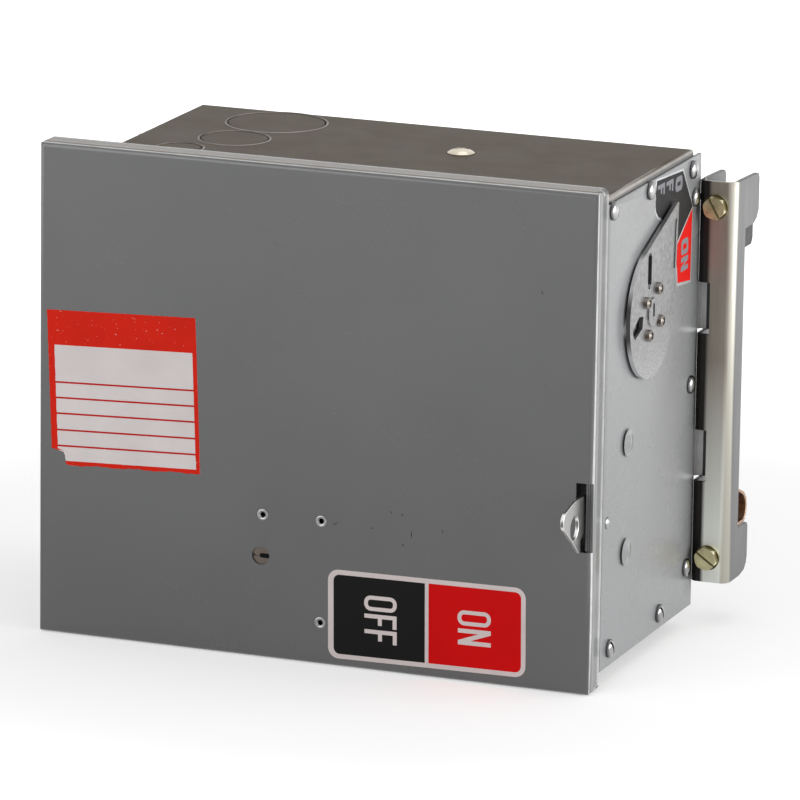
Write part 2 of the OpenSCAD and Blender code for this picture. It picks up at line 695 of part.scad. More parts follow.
module dial() {
    rim = 2.2;
    window_r = 2.8;
    window_z = [15.6, 28.2];
    color([0.66, 0.66, 0.67]) translate([0, dial_y, dial_z]) difference() {
        union() {
            along_x(dial_x, dial_x + dial_t) teardrop(dial_r, pointer_l, pointer_a);
            along_x(dial_x, dial_x + dial_t + 0.7) circle(7.4);
            // raised rib beside the pointer's rear edge
            along_x(dial_x, dial_x + dial_t + 0.6)
                polygon([[dial_r - 2.6, 16], [dial_r - 1.2, 16], [dial_r - 0.2, 41], [dial_r - 1.4, 38]]);
        }
        // hollow back, with a solid hub
        along_x(dial_x - cut, dial_x + dial_t - dial_skin) difference() {
            teardrop(dial_r - rim, pointer_l - 4 * rim, pointer_a);
            circle(dial_hub_r);
        }
        // upper window, lower window and the slot in the hub
        along_x(dial_x - cut, dial_x + dial_t + cut) {
            translate([-5.5, 0]) {
                translate([-window_r, window_z[0]]) square([2 * window_r, window_z[1] - window_z[0]]);
                for (z = window_z) translate([0, z]) circle(window_r);
            }
            polygon([[-14, 0.6], [-20, 1.4], [-29.2, -3.4], [-28.6, -6], [-26, -9], [-14.6, -5.2]]);
        }
        along_x(dial_x + dial_t - 0.6, dial_x + dial_t + cut) {
            translate([-1.2, -2.2]) square([2.4, 6]);
            for (z = [-2.2, 3.8]) translate([0, z]) circle(1.2);
        }
        rod_x(dial_x - cut, dial_x + shaft_seat, 0, 0, shaft_r);
        for (p = stud_at) rod_x(dial_x - cut, dial_x + dial_t + cut, p.x, p.y, stud_r + fit);
    }
}

module dial_studs() {
    color([0.55, 0.52, 0.48]) translate([0, dial_y, dial_z])
        for (p = stud_at) rod_x(dial_x, dial_x + dial_t + 2.3, p.x, p.y, stud_r);
}

module operating_shaft() {
    color([0.6, 0.6, 0.6]) rod_x(crank_x - 1, dial_x + shaft_seat, dial_y, dial_z, shaft_r);
}

module shaft_bushing() {
    flange_t = 2.5;
    color([0.78, 0.68, 0.42]) difference() {
        union() {
            rod_x(x_wall - flange_t, x_side, dial_y, dial_z, bush_r);
            rod_x(x_wall - flange_t, x_wall, dial_y, dial_z, bush_r + 5);
        }
        rod_x(x_wall - flange_t - cut, x_side + cut, dial_y, dial_z, shaft_r + fit);
    }
}

// Wound torsion spring that snaps the switch over
module snap_spring() {
    wire_r = 1.1;
    coil_r = shaft_r + 3;
    turns = 4;
    x0 = frame_x + frame_t;
    x1 = x_wall - 5;
    color([0.35, 0.35, 0.36]) translate([x0, dial_y, dial_z]) rotate([90, 0, 90])
        linear_extrude(x1 - x0, twist = -360 * turns, slices = 28 * turns)
            translate([coil_r, 0]) circle(wire_r, $fn = 10);
}

module drive_crank() {
    color([0.66, 0.66, 0.64]) along_x(crank_x, crank_x + crank_t) translate([dial_y, dial_z]) difference() {
        union() {
            circle(shaft_r + 7.5);
            rotate(-blade_a) translate([-bar_s / 2 - 4, 0]) square([bar_s + 8, bar_r + bar_s / 2 + 4]);
        }
        circle(shaft_r);
        rotate(-blade_a) translate([-bar_s / 2, bar_r - bar_s / 2]) square(bar_s);
    }
}

// Insulating bar that carries the three blades
module crossbar() {
    color([0.28, 0.16, 0.12]) difference() {
        union() {
            translate([0, dial_y, dial_z]) along_x(bar_x0, bar_x1) rotate(-blade_a)
                translate([-bar_s / 2, bar_r - bar_s / 2]) square(bar_s);
            rod_x(slider_x0 - 1, bar_x0 + 1, pin_off.x, pin_off.y, bar_pin_r);
        }
        for (k = [-1 : 1]) translate([0, dial_y, dial_z])
            along_x(pole_mid + k * pole_pitch - blade_t / 2, pole_mid + k * pole_pitch + blade_t / 2)
                rotate(-blade_a) translate([-blade_w / 2, 0]) square([blade_w, 2 * bar_r]);
    }
}

module blade(k) {
    x = pole_mid + k * pole_pitch;
    color([0.72, 0.45, 0.30]) translate([0, dial_y, dial_z]) along_x(x - blade_t / 2, x + blade_t / 2)
        difference() {
            union() {
                circle(hinge_hole_r + 4.5);
                rotate(-blade_a) translate([-blade_w / 2, 0]) square([blade_w, blade_r]);
            }
            circle(hinge_hole_r + fit);
        }
}
module blade_1() { blade(-1); }
module blade_2() { blade(0); }
module blade_3() { blade(1); }

module mechanism_frame() {
    y0 = dial_y - bar_r;
    y1 = dial_y + bar_r;
    color([0.68, 0.68, 0.66]) difference() {
        union() {
            block([frame_x, y0, dial_z - frame_h / 2], [frame_x + frame_t, y1, dial_z + frame_h / 2]);
            for (s = [-1, 1]) {
                z = dial_z + s * (frame_h / 2 - frame_t / 2);
                block([frame_x, y0, z - frame_t / 2], [x_wall, y1, z + frame_t / 2]);
                block([x_wall - frame_t, y0, z - 5], [x_wall, y1, z + 5]);
            }
        }
        rod_x(frame_x - cut, frame_x + frame_t + cut, dial_y, dial_z, shaft_r + fit);
    }
}

// ======== Switch base and fuse gear ========
pole = [for (k = [-1 : 1]) pole_mid + k * pole_pitch];
base_screw_at = [for (x = [base_x0 + 6, base_x1 - 6], z = [-base_z + 6, base_z - 6]) [x, z]];
line_stud_z = dial_z + 40;                      // stud from a line strap to its jaw
line_stud_r = 3;
barrier_t = 2.6;
barrier_x = slider_x1 + 0.3;                    // left barrier, which guides the slider

module switch_base() {
    foot = 12;
    barrier_top = fuse_z1 + 10;
    guard_y = guide_y - 8;
    color([0.23, 0.22, 0.21]) {
        difference() {
            union() {
                block([base_x0, base_front, -base_z], [base_x1, base_front + base_t, base_z]);
                // feet on the body's back
                for (p = base_screw_at)
                    block([p.x - foot / 2, base_front, p.y - foot / 2],
                          [p.x + foot / 2, y_wall, p.y + foot / 2]);
                // walls between the fuses
                for (k = [0, 1])
                    block([pole[k] + lug_dx - 1.3, fuse_y - fuse_r - 12, fuse_z0 + 24],
                          [pole[k] + lug_dx + 1.3, base_front, barrier_top]);
                // left wall, with the slider's guide pins
                block([barrier_x, guard_y, fuse_z0 + 24], [barrier_x + barrier_t, base_front, barrier_top]);
                for (z = guide_z) {
                    rod_x(slider_x0 - 0.4, barrier_x, guide_y, z, guide_r);
                    rod_x(slider_x0 - 1.9, slider_x0 - 0.4, guide_y, z, guide_r + 2);
                }
            }
            for (p = base_screw_at) rod_y(base_front - cut, y_wall + cut, p.x, p.y, screw_r + fit);
            for (x = pole)
                rod_y(base_front - cut, base_front + base_t + cut, x, line_stud_z, line_stud_r + fit);
            // hollow back that makes room for the straps
            block([base_x0 + 14, base_front + base_t - 3, -base_z + 4],
                  [base_x1 - 14, base_front + base_t + cut, -60]);
        }
    }
}

module base_screws() {
    color([0.74, 0.74, 0.72]) for (p = base_screw_at) {
        rod_y(base_front - 0.1, y_wall + 3, p.x, p.y, screw_r);
        difference() {
            translate([p.x, base_front, p.y]) rotate([90, 0, 0]) dome(head_r, head_h);
            translate([p.x, base_front - head_h, p.y]) cube([3 * head_r, 2.4, 1], center = true);
        }
    }
}

// Spring jaws that the blades enter at on
module line_jaws() {
    z0 = tip_on.y - jaw_h / 2;
    z1 = tip_on.y + jaw_h / 2;
    foot_t = 2;
    gap = blade_t / 2 + jaw_clear;
    color([0.74, 0.48, 0.32]) for (x = pole) {
        for (s = [-1, 1]) block([x + (s > 0 ? gap : -gap - jaw_t), base_front - jaw_d, z0],
                                [x + (s > 0 ? gap + jaw_t : -gap), base_front, z1]);
        block([x - 7, base_front - foot_t, z0], [x + 7, base_front, line_stud_z + 6]);
        rod_y(base_front - foot_t - 3, base_front + base_t + 0.5, x, line_stud_z, line_stud_r);
        rod_y(base_front - foot_t - 3, base_front - foot_t, x, line_stud_z, line_stud_r + 2.2);
    }
}

// Fibre cheeks and steel splitter plates over each line jaw
module arc_chutes() {
    z0 = line_stud_z - 1;
    z1 = base_z;
    wall_x = blade_w;
    wall_t = 1.5;
    notch = blade_t / 2 + 2.5;
    y0 = base_front - 2 * jaw_d - 2;
    y1 = base_front - jaw_d / 3;
    splitters = 4;
    splitter_t = 1.2;
    pitch = (z1 - z0) / splitters;
    color([0.50, 0.30, 0.22]) for (x = pole) {
        for (s = [-1, 1]) block([x + (s > 0 ? wall_x - wall_t : -wall_x), y0, z0],
                                [x + (s > 0 ? wall_x : wall_t - wall_x), base_front, z1]);
        for (k = [0 : splitters - 1]) difference() {
            block([x - wall_x, y0, z0 + pitch * (k + 0.4)],
                  [x + wall_x, y1, z0 + pitch * (k + 0.4) + splitter_t]);
            block([x - notch, y0 - cut, z0], [x + notch, y1 - 5, z1]);
        }
    }
}

// Cheeks, pin and foot that the blades hinge on
module blade_hinges() {
    gap = blade_t / 2 + 0.2;
    cheek_t = 2;
    foot_z0 = fuse_z1 - clip_margin;
    foot_z1 = fuse_z1 + 8;
    color([0.74, 0.48, 0.32]) for (x = pole) {
        for (s = [-1, 1]) along_x(x + (s > 0 ? gap : -gap - cheek_t), x + (s > 0 ? gap + cheek_t : -gap)) {
            translate([dial_y, dial_z]) circle(hinge_hole_r + 4.5);
            polygon([[dial_y + 3, dial_z + 6.3], [base_front, foot_z1 - 1], [base_front, fuse_z1 + 1.5],
                     [dial_y - 3, dial_z - 6.3]]);
        }
        block([x - 9, base_front - clip_base, foot_z0], [x + 9, base_front, foot_z1]);
        rod_x(x - gap - cheek_t - 1.5, x + gap + cheek_t + 1.5, dial_y, dial_z, hinge_hole_r);
    }
}

// Spring clip round an end cap, open to the front, standing on a copper foot
module fuse_clip(x, z) {
    mouth = 56;
    r = fuse_r + 0.1;
    color([0.76, 0.52, 0.36]) {
        along_z(z, z + clip_h) translate([x, fuse_y]) difference() {
            circle(r + clip_t, $fn = 72);
            circle(r, $fn = 72);
            polygon([[0, 0], 3 * r * [-sin(mouth), -cos(mouth)], [0, -4 * r],
                     3 * r * [sin(mouth), -cos(mouth)]]);
        }
        // lips that guide the fuse in
        for (s = [-1, 1]) translate([x, fuse_y, z]) linear_extrude(clip_h)
            rotate(s * (mouth - 180) + 180) translate([-clip_t / 2, -r - 3.6]) square([clip_t, 3.5]);
        block([x - 5, fuse_y + r + 0.3, z], [x + 5, base_front, z + clip_h]);
        block([x - 10, base_front - clip_base, z], [x + 10, base_front, z + clip_h]);
    }
}

module upper_fuse_clips() {
    for (x = pole) fuse_clip(x, fuse_z1 - clip_margin - clip_h);
}

module lower_fuse_clips() {
    for (x = pole) fuse_clip(x, fuse_z0 + clip_margin);
}

module fuse(x) {
    color([0.76, 0.74, 0.66]) rod_z(fuse_z0 + 1, fuse_z1 - 1, x, fuse_y, tube_r);
    color([0.78, 0.55, 0.38]) for (z = [fuse_z0, fuse_z1 - cap_l]) rod_z(z, z + cap_l, x, fuse_y, fuse_r);
}
module fuse_1() { fuse(pole[0]); }
module fuse_2() { fuse(pole[1]); }
module fuse_3() { fuse(pole[2]); }

// ======== Wire terminals ========
wire_r = 3.6;
lug_screw_r = 4;
lug_at = [for (x = pole) [x - lug_dx, fuse_z0 + clip_margin]];
neutral_x = [16.5 - x_side, base_x0 - 14];
neutral_z = -1.5 * stab_pitch;
bar_h = 12;
neutral_y1 = y_wall - 8;                        // back of the neutral bar
hole_pitch = 12.6;
hole_edge = 9;                                  // from an end of the bar to its first hole
hole_count = floor((neutral_x[1] - neutral_x[0] - 2 * hole_edge) / hole_pitch) + 1;
neutral_holes = [for (k = [0 : hole_count - 1]) neutral_x[0] + hole_edge + hole_pitch * k];
ground_at = [36.5 - x_side, 23 - z_top];

// A box lug whose wire comes from above and whose screw faces the front
module lug_box(x, y1, z) {
    difference() {
        block([x - lug_w / 2, y1 - lug_d, z], [x + lug_w / 2, y1, z + clip_h]);
        rod_z(z - cut, z + clip_h + cut, x, y1 - lug_d / 2, wire_r);
        rod_y(y1 - lug_d - cut, y1 - lug_d / 2, x, z + clip_h / 2, lug_screw_r + fit);
    }
}

module lug_screw(x, y1, z) {
    difference() {
        rod_y(y1 - lug_d - 4, y1 - lug_d / 2 - wire_r, x, z, lug_screw_r);
        translate([x, y1 - lug_d - 4, z]) cube([3 * lug_screw_r, 3, 1.4], center = true);
    }
}

module load_lugs() {
    foot = base_front - clip_base;
    color([0.75, 0.76, 0.77]) for (p = lug_at) {
        lug_box(p.x, foot, p.y);
        block([p.x - lug_w / 2, foot, p.y], [p.x + lug_dx - 10, base_front, p.y + clip_h]);
    }
}

module lug_screws() {
    color([0.70, 0.70, 0.68]) {
        for (p = lug_at) lug_screw(p.x, base_front - clip_base, p.y + clip_h / 2);
        lug_screw(ground_at.x, y_wall - 2, ground_at.y + clip_h / 2);
        for (x = neutral_holes) difference() {
            rod_y(neutral_y1 - bar_h - 3.5, neutral_y1 - bar_h / 2 - 2, x, neutral_z, 3);
            translate([x, neutral_y1 - bar_h - 3.5, neutral_z]) cube([8, 2.4, 1.2], center = true);
        }
    }
}

// Each line strap lies on its own level behind the switch base
module line_straps() {
    color([0.74, 0.48, 0.32]) for (k = [0 : 2]) {
        y0 = base_front + base_t + 0.8 + (2 - k) * (line_t + level_gap);
        y1 = y0 + line_t;
        x = pole[2 - k];
        z = stab_z[k];
        block([min(x, 0) - 6, y0, z - stem_h / 2], [max(x, 0) + 6, y1, z + stem_h / 2]);
        block([x - 6, y0, min(z, line_stud_z)], [x + 6, y1, line_stud_z + 6]);
        rod_y(base_front + base_t + 0.5, y0 + 0.1, x, line_stud_z, line_stud_r);
    }
}

module neutral_bar() {
    strap_y = y_wall - 3.5;
    color([0.75, 0.76, 0.77]) difference() {
        union() {
            block([neutral_x[0], neutral_y1 - bar_h, neutral_z - bar_h / 2],
                  [neutral_x[1], neutral_y1, neutral_z + bar_h / 2]);
            block([neutral_x[1] - 12, neutral_y1 - 2, neutral_z - 5],
                  [neutral_x[1], strap_y + line_t, neutral_z + 5]);
            block([neutral_x[1] - 12, strap_y, neutral_z - 3], [stem_w / 2, strap_y + line_t, neutral_z + 3]);
        }
        for (x = neutral_holes) {
            rod_z(neutral_z - bar_h, neutral_z + bar_h, x, neutral_y1 - bar_h / 2, 3.2);
            rod_y(neutral_y1 - bar_h - cut, neutral_y1 - bar_h / 2, x, neutral_z, 3 + fit);
        }
    }
}

// Insulating foot under the neutral bar
module neutral_block() {
    color([0.23, 0.22, 0.21])
        block([neutral_x[0] + 2, neutral_y1, neutral_z - 9], [neutral_x[1] - 14, y_wall, neutral_z + 9]);
}

module ground_lug() {
    color([0.75, 0.76, 0.77]) {
        lug_box(ground_at.x, y_wall - 2, ground_at.y);
        block([ground_at.x - 9, y_wall - 2, ground_at.y - 8],
              [ground_at.x + 9, y_wall, ground_at.y + clip_h]);
    }
}

// ======== Busway contacts ========
stab_screw_at = [for (x = [-1, 1], z = [-1, 1]) [x * (stab_base_w / 2 - 7), z * (stab_base_h / 2 - 5)]];
stab_head_r = 4;

module stab_base() {
    rib_t = 3;
    rib_z = stab_gap / 2 + finger_t + 1.2;
    color([0.20, 0.20, 0.21]) difference() {
        union() {
            block([-stab_base_w / 2, y_back, -stab_base_h / 2], [stab_base_w / 2, 0, stab_base_h / 2]);
            for (z = stab_z, s = [-1, 1])
                block([-rib_w / 2, -cut, z + s * (rib_z + rib_t / 2) - rib_t / 2],
                      [rib_w / 2, rib_l, z + s * (rib_z + rib_t / 2) + rib_t / 2]);
        }
        for (z = stab_z) {
            // pocket for the spring fingers and a hole for their stem
            block([-finger_w / 2 - clear, -9, z - rib_z + 0.2], [finger_w / 2 + clear, cut, z + rib_z - 0.2]);
            block([-stem_w / 2, y_back - cut, z - stem_h / 2], [stem_w / 2, -8, z + stem_h / 2]);
        }
        for (p = stab_screw_at) {
            rod_y(y_back - cut, cut, p.x, p.y, screw_r + fit);
            rod_y(-5, cut, p.x, p.y, stab_head_r + clear);
        }
    }
}

// Two spring fingers on one stem, gripping a bus bar from above and below
module stab_jaws() {
    g = stab_gap / 2;
    flare = 1.1;
    color([0.78, 0.50, 0.33]) for (k = [0 : 3]) {
        z = stab_z[k];
        stem_end = k < 3 ? base_front + base_t + 0.8 + (2 - k) * (line_t + level_gap) + line_t
                         : y_wall - 3.5 + line_t;
        for (s = [0, 1]) translate([0, 0, z]) mirror([0, 0, s]) along_x(-finger_w / 2, finger_w / 2)
            polygon([
                [-9, 0], [-6, 0], [-5, g], [finger_l - 5, g - 0.2], [finger_l, g + flare],
                [finger_l, g + flare + finger_t / 2], [finger_l - 5, g + finger_t], [-6, g + finger_t], [-9, 2]
            ]);
        block([-stem_w / 2, stem_end, z - stem_h / 2], [stem_w / 2, -9, z + stem_h / 2]);
    }
}

module stab_screws() {
    color([0.7, 0.7, 0.68]) for (p = stab_screw_at) {
        rod_y(y_wall - 3, -4.9, p.x, p.y, screw_r);
        rod_y(-5, -2.2, p.x, p.y, stab_head_r);
    }
}

// ======== Hanger channels and clamps ========
// Channel at the right end: web to the front, flanges and ears to the back
module hanger_channel() {
    ear = ear_l;
    low = lower_ear_l;
    strap_rear = y_back + strap_lift + strap_t + clear;
    difference() {
        intersection() {
            along_z(-chan_z, chan_z) difference() {
                round_rect(chan_x0, chan_y, chan_x1, ear_l + 2 * channel_r, channel_r);
                round_rect(chan_x0 + channel_t, chan_y + channel_t, chan_x1 - channel_t,
                           ear_l + 2 * channel_r + cut, channel_r - channel_t);
            }
            along_x(chan_x0 - cut, chan_x1 + cut) polygon([
                [chan_y - cut, -chan_z], [low - 12, -chan_z], [low - 4, 1.5 - chan_z], [low - 1, 4.5 - chan_z],
                [low, 8 - chan_z], [low, -ear_z - 2], [low - 2, -ear_z], [0, -ear_z], [0, ear_z],
                [ear - 8, ear_z], [ear - 3, ear_z + 2], [ear, ear_z + 6], [ear, chan_z - 3.5],
                [ear - 1.5, chan_z - 1], [chan_y + 12, chan_z], [chan_y - cut, chan_z]
            ]);
        }
        // notches that let the hanger straps in
        for (s = [-1, 1])
            block([chan_x0 - cut, chan_y - cut, s * strap_z - strap_h / 2 - 1],
                  [chan_x0 + channel_t + notch_w, strap_rear, s * strap_z + strap_h / 2 + 1]);
        for (s = [-1, 1]) rod_y(chan_y - cut, chan_y + channel_t + cut, bolt_x, s * bolt_z, bolt_r + 0.3);
    }
}

module right_channel() { color([0.55, 0.54, 0.50]) hanger_channel(); }
module left_channel() { color([0.55, 0.54, 0.50]) mirror([1, 0, 0]) hanger_channel(); }

// Straps that step back from the body, past the end plates, to the channels' outer flanges
strap_rivet_x = [x_side - 56.5, x_side - 36.5];
module hanger_straps() {
    x0 = strap_rivet_x[0] - 8;
    x1 = x_side - 10;
    x2 = x1 + strap_lift;
    x3 = chan_x1 - channel_t;
    lift = strap_lift;
    miter = strap_t * tan(45 / 2);
    color([0.70, 0.70, 0.68]) both_sides() for (s = [-1, 1]) difference() {
        along_z(s * strap_z - strap_h / 2, s * strap_z + strap_h / 2) polygon([
            [x0, y_back], [x1, y_back], [x2, y_back + lift], [x3, y_back + lift],
            [x3, y_back + lift + strap_t], [x2 - miter, y_back + lift + strap_t],
            [x1 - miter, y_back + strap_t], [x0, y_back + strap_t]
        ]);
        for (x = strap_rivet_x) rod_y(y_back - cut, y_back + strap_t + cut, x, s * strap_z, screw_r + fit);
    }
}

module strap_rivets() {
    color([0.72, 0.72, 0.70]) both_sides() for (s = [-1, 1], x = strap_rivet_x) {
        rod_y(y_back + strap_t - 0.4, y_back + strap_t + 0.1, x, s * strap_z, screw_r);
        translate([x, y_back + strap_t, s * strap_z]) rotate([-90, 0, 0]) dome(3.6, 1.6);
    }
}

// Folded copper contact that touches the busway's housing first
module ground_finger() {
    t = 1.5;
    web = chan_y + channel_t;
    // between the clamp and the ear at one side and the strap at the other
    z0 = -min(ear_z - 1, bolt_z - jaw_foot - 3);
    h = -z0 - (strap_z + strap_h / 2 + 7.5);
    y1 = lower_ear_l - 0.5;
    foot_x0 = jaw_x0 + channel_r - channel_t;
    foot_x1 = jaw_x1 - channel_r + channel_t;
    color([0.74, 0.50, 0.32]) intersection() {
        along_x(foot_x0, chan_x1 - clear) translate([0, z0]) scale([1, h / 19]) difference() {
            polygon([[web, 0], [web, 19], [3, 19], [y1 - 5, 16], [y1 - 1, 12], [y1, 8], [y1 - 1, 3], [y1 - 4, 0]]);
            polygon([[web + t, t], [web + t, 19 - t], [3, 19 - t], [y1 - 6, 16 - t],
                     [y1 - 1 - t, 11], [y1 - t, 8], [y1 - 1 - t, 3.6], [y1 - 4.6, t]]);
            translate([web + 8, -cut]) square([6, t + 2 * cut]);
        }
        // narrow inside the channel, as wide as the channel in front of the busway
        union() {
            block([foot_x0 - cut, web - cut, z0 - cut], [foot_x1, y1 + cut, z0 + h + cut]);
            block([foot_x0 - cut, clear, z0 - cut], [chan_x1, y1 + cut, z0 + h + cut]);
        }
    }
}

// Hexagon bolt whose head bears on the channel's web
module clamp_bolt(side, s) {
    color([0.72, 0.69, 0.42]) mirror([side < 0 ? 1 : 0, 0, 0]) {
        rod_y(chan_y - 1, bolt_end, bolt_x, s * bolt_z, bolt_r);
        difference() {
            translate([bolt_x, chan_y, s * bolt_z]) rotate([90, 15, 0]) {
                // hexagon with turned-down corners on a washer face
                intersection() {
                    cylinder(h = bolt_head_h, r = bolt_head_r, $fn = 6);
                    cylinder(h = bolt_head_h, r1 = bolt_head_r + 1.8, r2 = bolt_head_r - 0.7);
                }
                cylinder(h = 0.9, r = bolt_head_r + 0.15);
            }
            translate([bolt_x, chan_y - bolt_head_h, s * bolt_z]) rotate([0, s > 0 ? 60 : 35, 0])
                cube([4 * bolt_head_r, 2.6, 1.2], center = true);
        }
    }
}
module clamp_bolt_right_upper() { clamp_bolt(1, 1); }
module clamp_bolt_right_lower() { clamp_bolt(1, -1); }
module clamp_bolt_left_upper() { clamp_bolt(-1, 1); }
module clamp_bolt_left_lower() { clamp_bolt(-1, -1); }

// Nut block that the bolt draws forward; the upper ones have a nose below the ear
module clamp_jaw(side, s) {
    nose_y = 4;
    nose_z = bolt_z - jaw_nose;
    foot_z = bolt_z - jaw_foot;
    y0 = -2;
    y1 = s > 0 ? ear_l : lower_ear_l - 1;
    top = bolt_z + bolt_r + 1.5;
    foot = s > 0 ? [[y0, foot_z], [nose_y, foot_z], [nose_y, nose_z + 1.5], [nose_y + 1.5, nose_z],
                    [y1 - 2, nose_z], [y1, nose_z + 3]]
                 : [[y0, foot_z], [y1, foot_z]];
    color([0.33, 0.33, 0.34]) mirror([side < 0 ? 1 : 0, 0, 0]) difference() {
        along_x(jaw_x0, jaw_x1) mirror([0, s > 0 ? 0 : 1])
            polygon(concat(foot, [[y1, top - 1], [y1 - 2, top], [y0, top]]));
        rod_y(y0 - cut, y1 + cut, bolt_x, s * bolt_z, bolt_r + fit);
    }
}
module clamp_jaw_right_upper() { clamp_jaw(1, 1); }
module clamp_jaw_right_lower() { clamp_jaw(1, -1); }
module clamp_jaw_left_upper() { clamp_jaw(-1, 1); }
module clamp_jaw_left_lower() { clamp_jaw(-1, -1); }

body_shell();
left_end_plate();
right_end_plate();
end_plate_screws();
end_plate_rivets();
bonding_screw();
cover();
cover_hinge_leaves();
body_hinge_leaves();
hinge_pins();
interlock_bracket();
cover_eyelets();
interlock_screw();
interlock_slider();
padlock_latch();
latch_pivot();
dial();
dial_studs();
operating_shaft();
shaft_bushing();
snap_spring();
drive_crank();
crossbar();
blade_1();
blade_2();
blade_3();
mechanism_frame();
switch_base();
base_screws();
line_jaws();
arc_chutes();
blade_hinges();
upper_fuse_clips();
lower_fuse_clips();
fuse_1();
fuse_2();
fuse_3();
load_lugs();
lug_screws();
line_straps();
neutral_bar();
neutral_block();
ground_lug();
stab_base();
stab_jaws();
stab_screws();
right_channel();
left_channel();
hanger_straps();
strap_rivets();
ground_finger();
clamp_bolt_right_upper();
clamp_bolt_right_lower();
clamp_bolt_left_upper();
clamp_bolt_left_lower();
clamp_jaw_right_upper();
clamp_jaw_right_lower();
clamp_jaw_left_upper();
clamp_jaw_left_lower();
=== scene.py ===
"""Looks of the busway tap off box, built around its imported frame. Metres; the frame's axes."""
import math

import bmesh
import bpy
from mathutils import Matrix, Vector


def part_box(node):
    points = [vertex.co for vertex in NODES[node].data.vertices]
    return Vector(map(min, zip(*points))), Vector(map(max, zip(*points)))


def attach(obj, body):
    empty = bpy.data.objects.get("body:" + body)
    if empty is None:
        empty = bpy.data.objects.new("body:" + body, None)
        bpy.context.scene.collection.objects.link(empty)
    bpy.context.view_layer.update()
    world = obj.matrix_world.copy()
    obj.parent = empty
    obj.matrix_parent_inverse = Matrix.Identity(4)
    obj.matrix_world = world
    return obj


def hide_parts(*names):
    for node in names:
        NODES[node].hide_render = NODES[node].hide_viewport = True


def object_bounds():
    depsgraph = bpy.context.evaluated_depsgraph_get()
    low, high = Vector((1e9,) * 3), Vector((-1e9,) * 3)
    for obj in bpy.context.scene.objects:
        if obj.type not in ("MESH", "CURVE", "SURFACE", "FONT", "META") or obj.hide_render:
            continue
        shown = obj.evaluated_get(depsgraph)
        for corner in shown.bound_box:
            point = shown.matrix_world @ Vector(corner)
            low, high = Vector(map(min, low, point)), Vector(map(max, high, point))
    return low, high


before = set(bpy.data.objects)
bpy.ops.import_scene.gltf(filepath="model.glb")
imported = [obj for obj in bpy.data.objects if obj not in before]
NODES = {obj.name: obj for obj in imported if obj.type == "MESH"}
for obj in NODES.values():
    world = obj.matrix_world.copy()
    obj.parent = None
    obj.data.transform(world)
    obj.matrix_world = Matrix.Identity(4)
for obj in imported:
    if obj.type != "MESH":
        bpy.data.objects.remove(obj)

MM = 0.001
CAD_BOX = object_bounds()


def edge(node, axis, end):
    """One coordinate, in mm, of a CAD node's box: axis 0 to 2, end 0 for its low side and 1 for its high side."""
    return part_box(node)[end][axis] / MM


COVER_FACE = edge("cover", 1, 0)
PLATE_FACE = edge("cover", 0, 1)
TOP_FACE = edge("body_shell", 2, 1)
FLOOR_Z = CAD_BOX[0][2]


